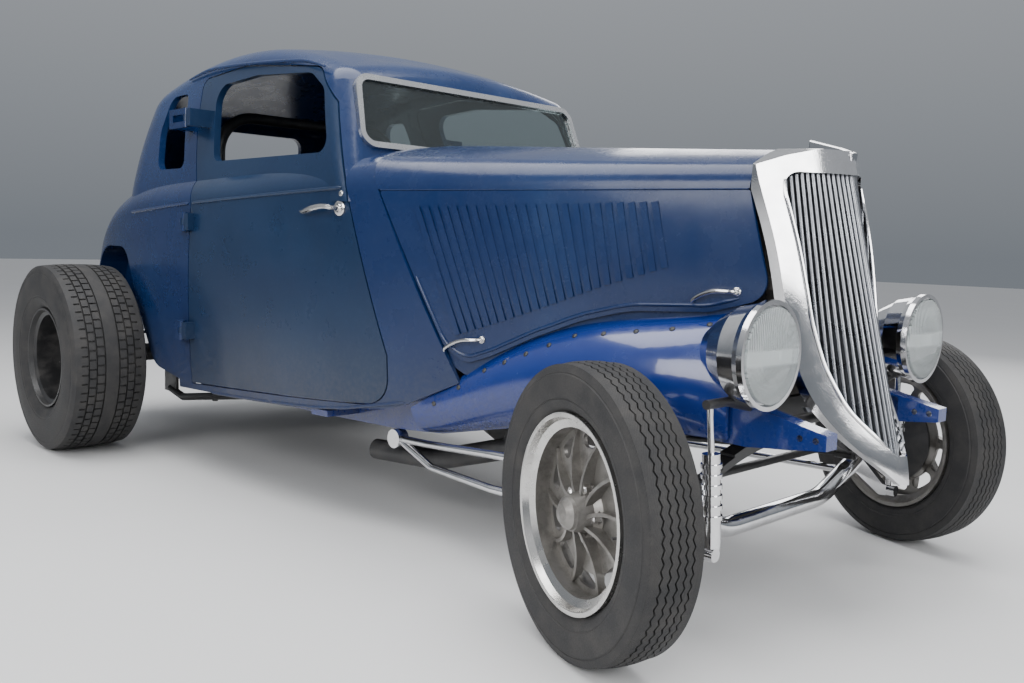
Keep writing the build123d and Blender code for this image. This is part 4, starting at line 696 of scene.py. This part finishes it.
    def finish(self, finish: Finish, body: str, at: Matrix | None = None,
               angle: float = 35.0) -> bpy.types.Object:
        """Place, smooth, dress and hand over the piece.

        Args:
            finish: the finish it wears.
            body: the CAD body it rides on.
            at: where it goes, as a matrix from its own frame.
            angle: edges sharper than this stay sharp, in degrees.

        Returns:
            The finished object, with its place in its mesh.
        """
        piece = self.piece
        if at is not None:
            piece.data.transform(at)
            if at.is_negative:
                piece.data.flip_normals()
        bpy.ops.object.shade_smooth_by_angle(angle=math.radians(angle))
        piece.name = self.name
        piece.data.name = self.name
        piece.data.materials.clear()
        piece.data.materials.append(finish.material())
        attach(piece, body)
        piece.select_set(False)
        LOG.info("made %s on %s, %d faces", self.name, body, len(piece.data.polygons))
        return piece


def row_point(x: float, y: float, z: float) -> Vector:
    """A point given from the front axle in millimetres, in the model's frame in metres."""
    return Vector((x / 1000 + SHIFT, y / 1000, z / 1000))


def wheel_place(side: int) -> Matrix:
    """Where the left or right front wheel stands, parked as it is turned.

    Args:
        side: 1 for the left, -1 for the right.

    Returns:
        A matrix from a wheel at the origin, its outer face toward +Y.
    """
    turn = math.radians(STEER)
    ahead, out = -KINGPIN_REACH * math.sin(turn), KINGPIN_REACH * math.cos(turn)
    centre = Vector((SHIFT + side * ahead, side * (KINGPIN_Y + out), FRONT_RADIUS))
    mirror = Matrix.Diagonal((1, side, 1, 1))
    return Matrix.Translation(centre) @ Matrix.Rotation(turn, 4, "Z") @ mirror


def rear_place(side: int) -> Matrix:
    """Where the left or right rear wheel stands."""
    return Matrix.Translation((REAR_X, side * REAR_Y, REAR_RADIUS)) @ Matrix.Diagonal((1, side, 1, 1))


@dataclass(frozen=True)
class Touch:
    """Where a line met a panel.

    Attributes:
        node: the panel's CAD node.
        at: the point that was met.
        normal: the panel's outward direction there.
    """

    node: str
    at: Vector
    normal: Vector

    @property
    def body(self) -> str:
        """The body that the panel rides on."""
        moving = ("door_", "hood_", "deck_lid")
        return self.node if self.node.startswith(moving) else "chassis"

    @property
    def place(self) -> Matrix:
        """A place at the point, with +Y turned to stand along the normal."""
        turn = Vector((0, 1, 0)).rotation_difference(self.normal).to_matrix().to_4x4()
        return Matrix.Translation(self.at) @ turn


def touch_side(names: Sequence[str], x: float, z: float, side: int) -> Touch | None:
    """Find the outermost of some panels by a line that comes in from one side.

    Args:
        names: CAD nodes to look for.
        x: millimetres ahead of the front axle.
        z: millimetres over the ground.
        side: 1 for the left, -1 for the right.

    Returns:
        The outermost touch, or None where the line misses them all.
    """
    start = row_point(x, side * 1500.0, z)
    graph = bpy.context.evaluated_depsgraph_get()
    best = None
    for name in names:
        hit, at, normal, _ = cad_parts[name].ray_cast(start, Vector((0, -side, 0)), depsgraph=graph)
        if hit and (best is None or at.y * side > best.at.y * side):
            best = Touch(name, at.copy(), normal.copy() if normal.y * side > 0 else -normal)
    return best


def foot_of(names: Sequence[str], x: float, low: float, high: float, side: int) -> float:
    """Find a panel's lower edge at one place along the car, by halving.

    Args:
        names: CAD nodes to look for.
        x: millimetres ahead of the front axle.
        low: a height under the panel, in millimetres.
        high: a height on the panel.
        side: 1 for the left, -1 for the right.

    Returns:
        The edge's height in millimetres.
    """
    for _ in range(HALVINGS):
        middle = (low + high) / 2
        if touch_side(names, x, middle, side) is None:
            low = middle
        else:
            high = middle
    return high


def along(points: Sequence[Flat], step: float) -> list[Flat]:
    """Even steps along a broken line of (x, z) rows in millimetres."""
    found = []
    for (x0, z0), (x1, z1) in zip(points, points[1:]):
        count = max(1, round(math.hypot(x1 - x0, z1 - z0) / step))
        found += [(x0 + (x1 - x0) * i / count, z0 + (z1 - z0) * i / count) for i in range(count)]
    return [*found, points[-1]]


def taper(points: Sequence[Any], end: float = 0.5) -> list[float]:
    """Swell factors of a rod that narrows at both of its end points."""
    return [end, *[1.0] * (len(points) - 2), end]


def rod(name: str, finish: Finish, body: str, points: Sequence[Vector], radius: float,
        swell: Sequence[float], at: Matrix | None = None) -> None:
    """Make one piece of round rod.

    Args:
        name: the piece's name.
        finish: the finish it wears.
        body: the CAD body it rides on.
        points: its middle line's control points.
        radius: of its section, in metres.
        swell: a factor on the radius at each point.
        at: where it goes, as a matrix from its own frame.
    """
    bench = Bench(name)
    bench.tube(points, radius, swell)
    bench.finish(finish, body, at)


# Sub-assemblies


class Side(Enum):
    """The two sides of the car."""

    LEFT = 1
    RIGHT = -1

    @property
    def word(self) -> str:
        """The side's name, as the bodies use it."""
        return self.name.lower()


@dataclass
class Tyre:
    """A tyre with cut tread grooves.

    Attributes:
        radius: of the tread at its middle.
        width: over the sidewalls.
        rim: radius where the bead sits.
        rim_w: width between the rim's flanges.
        shoulder: how far in and down the tread's corner is rounded.
        grooves: each groove's middle along the width.
        groove_w: a groove's width.
        groove_d: a groove's depth.
        zigzag: how far the grooves swing to each side.
        steps: faces round the tyre.
        block_rows: (low, high) along the width of each row that is cut into blocks.
        block_pitch: faces from one block's start to the next.
    """

    radius: float
    width: float
    rim: float
    rim_w: float
    shoulder: float
    grooves: Sequence[float]
    groove_w: float
    groove_d: float
    zigzag: float
    steps: int
    block_rows: Sequence[Flat] = ()
    block_pitch: int = 6

    def crown(self, y: float) -> float:
        """Radius of the tread at one point across it."""
        flat = self.width / 2 - self.shoulder
        return self.radius - 0.005 * (y / flat) ** 2

    def profile(self) -> list[Flat]:
        """The section from the outer bead round the tread to the inner bead."""
        half = self.width / 2
        depth = self.radius - self.rim
        bead = self.rim_w / 2 - 0.012
        lower = [(bead + (half - bead) * 0.55, 0.10), (half - 0.003, 0.24), (half - 0.0035, 0.27),
                 (half - 0.001, 0.29), (half, 0.45)]
        upper = [(half - 0.002, 1.25), (half - 0.0045, 1.12), (half - 0.0035, 1.0), (half - 0.006, 0.62),
                 (half - self.shoulder * 0.42, 0.24)]
        side = [(bead, self.rim + 0.0005)]
        side += [(y, self.rim + depth * share) for y, share in lower]
        side += [(y, self.radius - self.shoulder * share) for y, share in upper]
        tread = [(half - self.shoulder, self.radius - 0.005)]
        for middle in sorted(self.grooves, reverse=True):
            top, low = middle + self.groove_w / 2, middle - self.groove_w / 2
            tread += [(top, self.crown(top)), (top - 0.0008, self.crown(top) - self.groove_d),
                      (low + 0.0008, self.crown(low) - self.groove_d), (low, self.crown(low))]
        tread += [(-half + self.shoulder, self.radius - 0.005)]
        mirrored = [(-y, r) for y, r in reversed(side)]
        return side + tread + mirrored

    def cut_blocks(self, bench: Bench) -> None:
        """Cut the rows between the grooves into blocks, each row half a block round from the last."""
        floor = self.radius - self.groove_d * 0.9
        for row, (low, high) in enumerate(self.block_rows):

            def between(face: Any, row: int = row, low: float = low, high: float = high) -> bool:
                """Whether a face lies on this row, in the gap between two blocks."""
                co = face.center
                turn = math.floor(math.atan2(co.z, co.x) / (2 * math.pi) * self.steps)
                gap = (turn + row * self.block_pitch // 2) % self.block_pitch == 0
                return gap and low < co.y < high and math.hypot(co.x, co.z) > floor

            bench.pick_faces(between)
            sink = {"value": -self.groove_d * 0.8}
            bpy.ops.mesh.extrude_region_shrink_fatten(TRANSFORM_OT_shrink_fatten=sink)

    def build(self, end: str, side: Side, at: Matrix, rubber: Finish) -> None:
        """Spin the section, swing its grooves, cut its blocks and put the tyre in its CAD tyre's place.

        Args:
            end: "front" or "rear".
            side: which side of the car.
            at: where the wheel is.
            rubber: the tyre's finish.
        """
        bench = Bench(f"{end}_tread_{side.word}")
        bench.lathe(self.profile(), self.steps)
        reach = max(abs(y) for y in self.grooves) + self.groove_w
        floor = self.radius - self.groove_d - 0.012

        def swings(co: Vector, odd: int) -> bool:
            """Whether a vertex belongs to the tread's middle and to this half of the swing."""
            turn = round(math.atan2(co.z, co.x) / (2 * math.pi) * self.steps)
            return abs(co.y) < reach and math.hypot(co.x, co.z) > floor and turn % 2 == odd

        for odd, shift in ((0, self.zigzag), (1, -self.zigzag)):
            bench.pick_vertices(lambda co: swings(co, odd))
            bpy.ops.transform.translate(value=(0, shift, 0))
        self.cut_blocks(bench)
        bench.done()
        piece = bench.finish(rubber, f"{end}_roller_{side.word}", at, angle=28.0)
        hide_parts(f"{end}_tyre_{side.word}")


@dataclass
class Bodywork:
    """The cab, its doors and lid, the hood and the aprons.

    Every line is in millimetres from the front axle, as (x, z) or (x, y, z) rows.

    Attributes:
        belt: the bead under the windows.
        hood_x: where the hood's sides begin and end.
        hood_low: a height under them.
        hood_high: a height on them.
        ledge_in: how far the ledge stands in from their faces, in metres.
        sill: the bead along the foot of the body.
        gutter: the rail over the door.
        handle_at: where the door's lever turns.
        hood_handles: each hood handle's boss and tip.
        crown: the ends of the hood's long hinge.
        apron_edge: the apron's upper edge.
        belt_r: radius of the belt bead and the gutter, in metres.
        bead_r: radius of the other beads.
        bead_up: how far the hood's bead stands over the hood side's foot.
        ledge: (drop, height, thickness) of the ledge behind that foot, in metres.
        lever_r: radius of the door's lever, in metres.
        catch_r: radius of the hood's handles.
        hinge_r: radius of the long hinge.
        knuckle: about how long each of its knuckles is.
        screws: (pitch, depth under the edge) of the apron's screws.
    """

    belt: Sequence[Flat] = ((-1196.0, 1073.5), (-2148.0, 1032.0), (-2372.0, 1020.0), (-2700.0, 1000.0))
    hood_x: tuple[int, int] = (-925, 22)
    hood_low: float = 430.0
    hood_high: float = 900.0
    ledge_in: float = 0.0145
    sill: Sequence[Flat] = ((-2102.0, 319.0), (-1671.0, 340.0), (-1273.0, 363.0), (-978.0, 419.0))
    gutter: Sequence[Point] = ((-2395.0, 535.0, 1530.0), (-2290.0, 535.0, 1545.0), (-2182.0, 535.0, 1553.0),
                               (-1875.0, 537.0, 1537.0), (-1565.0, 538.0, 1512.0), (-1470.0, 545.0, 1494.0),
                               (-1389.0, 553.0, 1470.0))
    handle_at: Flat = (-1219.0, 1009.0)
    hood_handles: Sequence[tuple[Flat, Flat]] = (((-712.0, 634.0), (-837.0, 601.0)),
                                                 ((10.0, 812.0), (-104.0, 788.0)))
    crown: Sequence[Flat] = ((22.0, 1178.0), (-1116.0, 1243.8))
    apron_edge: Sequence[Flat] = ((-880.0, 452.0), (-700.0, 572.0), (-400.0, 697.0), (-120.0, 737.0),
                                  (50.0, 770.0))
    belt_r: float = 0.0065
    bead_r: float = 0.0055
    bead_up: float = 17.0
    ledge: Point = (0.052, 0.080, 0.0012)
    lever_r: float = 0.0075
    catch_r: float = 0.0052
    hinge_r: float = 0.0052
    knuckle: float = 0.024
    screws: Flat = (92.0, 26.0)

    def build(self) -> None:
        """Dress the panels and add what stands on them."""
        dress(BODY_BLUE, "cab", "cowl", "tail", "deck_lid")
        dress(DOOR_BLUE, *DOORS)
        dress(HOOD_BLUE, "hood_top_left", "hood_top_right", *HOOD_SIDES)
        dress(APRON_BLUE, "aprons", "frame_rails")
        dress(SCREEN_METAL, "windscreen_frame")
        dress(WINDOW_GLASS, "windscreen_glass")
        for side in Side:
            self.beads(side)
            self.drip_rail(side)
            self.door_handle(side)
            for number, ends in enumerate(self.hood_handles):
                self.hood_handle(side, number, *ends)
            self.apron_bolts(side)
        self.crown_hinge()

    def bead(self, side: Side, name: str, line: Sequence[Flat], names: Sequence[str],
             radius: float) -> None:
        """Raise a half-round bead along the panels, broken where one panel meets the next.

        Args:
            side: which side of the car.
            name: the bead's name.
            line: (x, z) rows in millimetres.
            names: the panels that it may lie on.
            radius: the bead's radius in metres.
        """
        runs: list[list[Touch]] = []
        for x, z in along(line, 14.0):
            touch = touch_side(names, x, z, side.value)
            if touch is None:
                continue
            if not runs or runs[-1][-1].node != touch.node:
                runs.append([])
            runs[-1].append(touch)
        for count, run in enumerate(runs):
            if len(run) < 3:
                continue
            finish = {"door": DOOR_BLUE, "hood": HOOD_BLUE}.get(run[0].node[:4], BODY_BLUE)
            rod(f"{name}_{side.word}_{count}", finish, run[0].body, [touch.at for touch in run], radius,
                taper(run))

    def beads(self, side: Side) -> None:
        """The beads at the belt, round the hood's lower edge and along the sill."""
        self.bead(side, "belt_bead", self.belt, BODY_PANELS, self.belt_r)
        edge = [(x, foot_of(HOOD_SIDES, x, self.hood_low, self.hood_high, side.value))
                for x in range(self.hood_x[0], self.hood_x[1], 20)]
        over = [(x, z + self.bead_up) for x, z in edge if z < self.hood_high - 10.0]
        self.bead(side, "hood_bead", over, HOOD_SIDES, self.bead_r)
        self.hood_ledge(side, edge)
        self.bead(side, "sill_bead", self.sill, BODY_PANELS, self.bead_r)

    def hood_ledge(self, side: Side, edge: Sequence[Flat]) -> None:
        """The folded ledge behind the foot of the hood's side, on which it rests when shut.

        Args:
            side: which side of the car.
            edge: (x, z) rows of the hood side's lower edge in millimetres.
        """
        drop, height, sheet = self.ledge
        points = []
        for x, z in edge:
            touch = touch_side(HOOD_SIDES, x, z + 8.0, side.value)
            if touch is not None:
                points.append(touch.at + Vector((0, -side.value * self.ledge_in, -drop)))
        bench = Bench("hood_ledge_" + side.word)
        bench.line(points)
        bpy.ops.mesh.select_all(action="SELECT")
        bpy.ops.mesh.extrude_region_move(TRANSFORM_OT_translate={"value": (0, 0, height)})
        bench.done()
        bench.modify("SOLIDIFY", thickness=sheet, offset=0.0)
        bench.weld()
        bench.finish(BODY_BLUE, "chassis")

    def drip_rail(self, side: Side) -> None:
        """The rain gutter over the door."""
        points = [row_point(x, side.value * y, z) for x, y, z in self.gutter]
        rod("drip_rail_" + side.word, BODY_BLUE, "chassis", points, self.belt_r, taper(points))

    def boss(self, name: str, touch: Touch, radius: float, height: float) -> None:
        """A round stepped boss on a panel."""
        bench = Bench(name)
        bench.lathe([(-0.002, 0.0), (-0.002, radius), (height * 0.4, radius), (height * 0.6, radius * 0.86),
                     (height * 0.7, radius * 0.6), (height, radius * 0.5), (height, 0.0)], 32)
        bench.finish(OLD_CHROME, touch.body, touch.place)

    def door_handle(self, side: Side) -> None:
        """The lever on its round escutcheon, and the lock over it."""
        x, z = self.handle_at
        touch = touch_side(DOORS, x, z, side.value)
        lock = touch_side(DOORS, x + 10.0, z + 46.0, side.value)
        if touch is None or lock is None:
            return
        self.boss("door_escutcheon_" + side.word, touch, 0.024, 0.012)
        self.boss("door_lock_" + side.word, lock, 0.009, 0.004)
        reach = [(0.0, 0.0, 0.002), (0.0, 0.0, 0.030), (-0.004, 0.002, 0.040), (-0.030, 0.006, 0.045),
                 (-0.080, 0.000, 0.048), (-0.125, -0.008, 0.044), (-0.158, -0.014, 0.040),
                 (-0.172, -0.010, 0.038)]
        points = [touch.at + Vector((dx, side.value * out, dz)) for dx, dz, out in reach]
        rod("door_handle_" + side.word, OLD_CHROME, touch.body, points, self.lever_r,
            [1.1, 0.9, 1.0, 1.1, 1.35, 1.25, 0.9, 0.5])

    def hood_handle(self, side: Side, number: int, start: Flat, end: Flat) -> None:
        """One curved handle that holds a hood side shut.

        Args:
            side: which side of the car.
            number: 0 at the rear, 1 at the front.
            start: (x, z) of its boss.
            end: (x, z) of its tip.
        """
        first = touch_side(HOOD_SIDES, *start, side.value)
        if first is None:
            return
        self.boss(f"hood_boss_{side.word}_{number}", first, 0.011, 0.010)
        points = []
        for share, out, lift in ((0.0, 0.002, 0.0), (0.0, 0.018, 0.0), (0.14, 0.024, 3.0),
                                 (0.35, 0.023, 9.0), (0.6, 0.019, 8.0), (0.82, 0.015, 1.0),
                                 (0.94, 0.011, -6.0), (0.93, 0.009, -12.0)):
            x = start[0] + (end[0] - start[0]) * share
            z = start[1] + (end[1] - start[1]) * share
            touch = touch_side(HOOD_SIDES, x, z, side.value) or first
            points.append(touch.at + Vector((0, side.value * out, lift / 1000)))
        rod(f"hood_handle_{side.word}_{number}", OLD_CHROME, first.body, points, self.catch_r,
            [1.0, 0.9, 1.0, 1.1, 1.2, 1.1, 0.9, 0.6])

    def crown_hinge(self) -> None:
        """The long hinge along the hood's crown, knuckle by knuckle."""
        (x0, z0), (x1, z1) = self.crown
        length = math.hypot(x1 - x0, z1 - z0) / 1000
        count = round(length / self.knuckle)
        bench = Bench("crown_hinge")
        pitch = length / count
        bpy.ops.mesh.primitive_cylinder_add(vertices=14, radius=self.hinge_r, depth=pitch * 0.94,
                                            location=(pitch / 2, 0, 0), rotation=(0, math.pi / 2, 0))
        bpy.ops.object.transform_apply(location=True, rotation=True, scale=True)
        bench.pick_faces(lambda face: abs(face.normal.x) > 0.9)
        bpy.ops.mesh.inset(thickness=0.0008, depth=0.0008)
        bench.done()
        bench.modify("ARRAY", count=count, use_relative_offset=False, use_constant_offset=True,
                     constant_offset_displace=(pitch, 0, 0))
        slope = Matrix.Rotation(math.atan2(z0 - z1, x1 - x0), 4, "Y")
        bench.finish(HOOD_BLUE, "chassis", Matrix.Translation(row_point(x0, 0, z0 - 3.0)) @ slope)

    def apron_bolts(self, side: Side) -> None:
        """Domed screws along the upper edge of the apron."""
        pitch, under = self.screws
        places = []
        for x, z in along(self.apron_edge, pitch):
            touch = touch_side(("aprons",), x, z - under, side.value)
            if touch is not None:
                places.append(touch.place)
        if not places:
            return
        bench = Bench("apron_screws_" + side.word)
        bench.lathe([(-0.001, 0.0), (-0.001, 0.008), (0.0015, 0.0078), (0.0032, 0.006), (0.0042, 0.003),
                     (0.0045, 0.0)], 14)
        bench.repeat(places)
        bench.finish(CHASSIS_BLACK, "chassis")


@dataclass
class Front:
    """The grille, the lamps and the bright running gear.

    Attributes:
        opening: (z, half-width) rows of the grille's opening in millimetres.
        roll: radius of the rolled edge round it, in metres.
    """

    opening: Sequence[Flat] = ((446.0, 41.0), (530.0, 100.0), (640.0, 142.0), (745.0, 168.0),
                               (1090.0, 204.0))
    roll: float = 0.0055

    def edge_point(self, z: float, half: float, side: int) -> Vector | None:
        """Find the grille opening's edge at one level by halving.

        Args:
            z: the level in millimetres.
            half: about how far out the edge is.
            side: 1 for the left, -1 for the right.

        Returns:
            The point on the shell's face at the edge, or None if it isn't met.
        """
        graph = bpy.context.evaluated_depsgraph_get()
        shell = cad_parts["grille_shell"]
        low, high, found = half - 14.0, half + 22.0, None
        for _ in range(HALVINGS):
            middle = (low + high) / 2
            start = row_point(900.0, side * middle, z)
            hit, at, _, _ = shell.ray_cast(start, Vector((-1, 0, 0)), depsgraph=graph)
            if hit:
                high, found = middle, at.copy()
            else:
                low = middle
        return found

    def rolled_edges(self) -> None:
        """The rolled edge of the shell, down both sides of the grille."""
        for side in Side:
            points = []
            for z, half in along(self.opening, 26.0):
                point = self.edge_point(z, half, side.value)
                if point is not None:
                    points.append(point + Vector((-0.001, side.value * 0.003, 0)))
            rod("grille_roll_" + side.word, CHROME, "chassis", points, self.roll, taper(points, 0.6))

    def build(self) -> None:
        """Dress the front's plated pieces and roll the shell's edge."""
        self.rolled_edges()
        dress(CHROME, "grille_shell", "headlamp_shells", "radius_rods", "front_axle", "shocks")
        dress(GRILLE_GREY, "grille_bars")
        dress(LAMP_GLASS, "headlamp_lenses")


@dataclass
class RunningGear:
    """Wheels, tyres, links and everything under the floor.

    Attributes:
        front_tyre: the narrow grooved tyres.
        rear_tyre: the wide tyres, whose treads are cut into blocks.
        nut_rings: (circle's radius, seat out of the wheel's middle) of the front and rear wheel nuts.
        valves: (radius, seat) of the front and rear valve stems.
        nut: (radius, height) of a wheel nut.
        stem_r: radius of a valve stem.
    """

    front_tyre: Tyre = field(default_factory=lambda: Tyre(
        FRONT_RADIUS, 0.142, 0.221, 0.128, 0.022, (-0.036, -0.018, 0.0, 0.018, 0.036), 0.0042, 0.007, 0.0030,
        150))
    rear_tyre: Tyre = field(default_factory=lambda: Tyre(
        REAR_RADIUS, 0.300, 0.205, 0.262, 0.034, (-0.090, -0.060, -0.028, 0.028, 0.060, 0.090), 0.007, 0.008,
        0.0, 330, ((0.0935, 0.118), (0.0635, 0.0865), (0.0315, 0.0565), (-0.0565, -0.0315),
                   (-0.0865, -0.0635), (-0.118, -0.0935)), 5))
    nut_rings: Sequence[Flat] = ((0.056, 0.012), (0.084, -0.048))
    valves: Sequence[Flat] = ((0.199, 0.030), (0.181, 0.095))
    nut: Flat = (0.0115, 0.016)
    stem_r: float = 0.0036

    def build(self) -> None:
        """Dress the metal and make the tyres."""
        dress(MAGNESIUM, "front_wheel_left", "front_wheel_right")
        dress(CHASSIS_BLACK, "rear_wheel_left", "rear_wheel_right", "knuckle_left", "knuckle_right",
              "front_spring", "rear_axle", "ladder_bars", "drive_line", "crossmembers", "tie_rod", "drag_link",
              "pitman_arm", "exhaust_pipes", "steering_column")
        dress(IRON, "engine_block", "radiator")
        for side in Side:
            front, rear = wheel_place(side.value), rear_place(side.value)
            cut = TreadRubber("front_tread_" + side.word, centre=tuple(front.translation), turn=STEER)
            self.front_tyre.build("front", side, front, cut)
            self.rear_tyre.build("rear", side, rear, TYRE_RUBBER)
            self.polished_lip(side, front)
            for end, at, ring in zip(("front", "rear"), (front, rear), self.nut_rings):
                self.nuts(end, side, at, *ring)
            for end, at, stem in zip(("front", "rear"), (front, rear), self.valves):
                self.valve(end, side, at, *stem)

    def polished_lip(self, side: Side, at: Matrix) -> None:
        """The turned and polished lip that faces the front rim."""
        bench = Bench("rim_lip_" + side.word)
        bench.lathe([(0.0405, 0.1866), (0.0482, 0.2045), (0.0640, 0.2104), (0.0646, 0.2114), (0.0647, 0.2200),
                     (0.0641, 0.2212), (0.0530, 0.2213), (0.0530, 0.2195), (0.0630, 0.2195), (0.0630, 0.2120),
                     (0.0478, 0.2062), (0.0400, 0.1880), (0.0405, 0.1866)], 120)
        bench.finish(LIP_METAL, "front_roller_" + side.word, at, angle=24.0)

    def nuts(self, end: str, side: Side, at: Matrix, radius: float, seat: float) -> None:
        """Five wheel nuts on a circle.

        Args:
            end: "front" or "rear".
            side: which side of the car.
            at: where the wheel is.
            radius: of the circle.
            seat: how far out of the wheel's middle they sit.
        """
        bench = Bench(f"{end}_nuts_{side.word}")
        bench.hexagon(*self.nut)
        bench.repeat([Matrix.Rotation(2 * math.pi * count / 5, 4, "Y") @ Matrix.Translation((radius, seat, 0))
                      for count in range(5)])
        bench.finish(OLD_CHROME, f"{end}_roller_{side.word}", at)

    def valve(self, end: str, side: Side, at: Matrix, radius: float, seat: float) -> None:
        """A valve stem that leans out of the rim."""
        points = [Vector((radius - inward, seat + out, 0))
                  for inward, out in ((0.0, 0.0), (0.004, 0.014), (0.007, 0.034))]
        rod(f"{end}_valve_{side.word}", CHASSIS_BLACK, f"{end}_roller_{side.word}", points, self.stem_r,
            [1.2, 1.0, 0.8], at)


@dataclass
class Cabin:
    """Seats, floor, roll bar and steering wheel."""

    def build(self) -> None:
        """Dress the cabin."""
        dress(SEAT_TRIM, "seats", "steering_wheel")
        dress(FLOOR_TRIM, "floor_pan")
        dress(CHASSIS_BLACK, "roll_bar")


# Camera and light


@dataclass
class Studio:
    """The camera at the photograph's place, the floor and the soft lights.

    Attributes:
        eye: where the camera stands.
        yaw: the way it looks, in degrees from +X toward +Y.
        pitch: degrees up.
        roll: degrees over.
        lens: focal length in millimetres on the sensor.
        sensor: the sensor's width.
        lights: each softbox's name, place, the point it faces, its size and its power.
    """

    eye: Point = (2.8938, -2.3013, 0.9115)
    yaw: float = 135.9
    pitch: float = -5.8
    roll: float = 1.7
    lens: float = 953.0 / 1024.0 * 36.0
    sensor: float = 36.0
    lights: Sequence[tuple[str, Point, Point, Flat, float]] = (
        ("overhead", (0.4, -0.6, 5.2), (0, 0, 0.4), (6.0, 4.0), 420.0),
        ("near_side", (2.2, -5.4, 3.0), (0, 0, 0.7), (4.5, 2.6), 260.0),
        ("front", (6.2, -0.5, 2.4), (0.5, 0, 0.7), (3.0, 2.2), 170.0),
        ("far_side", (-1.0, 5.6, 3.4), (0, 0, 0.7), (5.0, 2.6), 160.0))

    def camera(self) -> None:
        """Set up the camera."""
        data = bpy.data.cameras.new("camera")
        camera = bpy.data.objects.new("camera", data)
        bpy.context.scene.collection.objects.link(camera)
        data.lens = self.lens
        data.sensor_width = self.sensor
        data.clip_start = 0.05
        yaw, pitch, roll = (math.radians(a) for a in (self.yaw, self.pitch, self.roll))
        ahead = Vector((math.cos(yaw) * math.cos(pitch), math.sin(yaw) * math.cos(pitch), math.sin(pitch)))
        right = Vector((math.sin(yaw), -math.cos(yaw), 0.0))
        up = right.cross(ahead)
        tilted_right = right * math.cos(roll) + up * math.sin(roll)
        tilted_up = up * math.cos(roll) - right * math.sin(roll)
        turn = Matrix((tilted_right, tilted_up, -ahead)).transposed().to_4x4()
        camera.matrix_world = Matrix.Translation(self.eye) @ turn
        bpy.context.scene.camera = camera

    def sky(self) -> None:
        """A plain soft backdrop, darker toward the horizon, so that bright metal has something to show."""
        world = bpy.data.worlds.new("studio")
        world.use_nodes = True
        nodes, links = world.node_tree.nodes, world.node_tree.links
        where = nodes.new("ShaderNodeTexCoord")
        split = nodes.new("ShaderNodeSeparateXYZ")
        shade = nodes.new("ShaderNodeValToRGB")
        stops = ((0.0, (0.30, 0.33, 0.37, 1.0)), (0.62, (0.92, 0.95, 1.0, 1.0)))
        for element, (position, colour) in zip(shade.color_ramp.elements, stops):
            element.position = position
            element.color = colour
        background = nodes["Background"]
        background.inputs["Strength"].default_value = 0.60
        links.new(where.outputs["Generated"], split.inputs[0])
        links.new(split.outputs["Z"], shade.inputs[0])
        links.new(shade.outputs["Color"], background.inputs["Color"])
        bpy.context.scene.world = world

    def softbox(self, name: str, at: Point, toward: Point, size: Flat, power: float) -> None:
        """Hang one large soft light.

        Args:
            name: the light's name.
            at: where it hangs.
            toward: the point it faces.
            size: its width and height.
            power: in watts.
        """
        data = bpy.data.lights.new(name, "AREA")
        data.shape = "RECTANGLE"
        data.size, data.size_y = size
        data.energy = power
        lamp = bpy.data.objects.new(name, data)
        bpy.context.scene.collection.objects.link(lamp)
        lamp.location = at
        aim = Vector(toward) - Vector(at)
        lamp.rotation_euler = aim.to_track_quat("-Z", "Y").to_euler()

    def build(self) -> None:
        """Camera, floor, world and lights."""
        self.camera()
        bench = Bench("studio_floor")
        bpy.ops.mesh.primitive_plane_add(size=60.0, location=(0, 0, -0.002))
        bpy.ops.object.transform_apply(location=True, rotation=True, scale=True)
        floor = bench.piece
        floor.name = bench.name
        floor.data.materials.append(StudioFloor("studio_floor").material())
        self.sky()
        for light in self.lights:
            self.softbox(*light)


def main() -> None:
    """Build the studio and every sub-assembly in order."""
    logging.basicConfig(level=logging.INFO, format="%(name)s: %(message)s")
    for part in (Studio(), Bodywork(), Front(), RunningGear(), Cabin()):
        LOG.info("building %s", type(part).__name__)
        part.build()


if __name__ == "__main__":
    main()
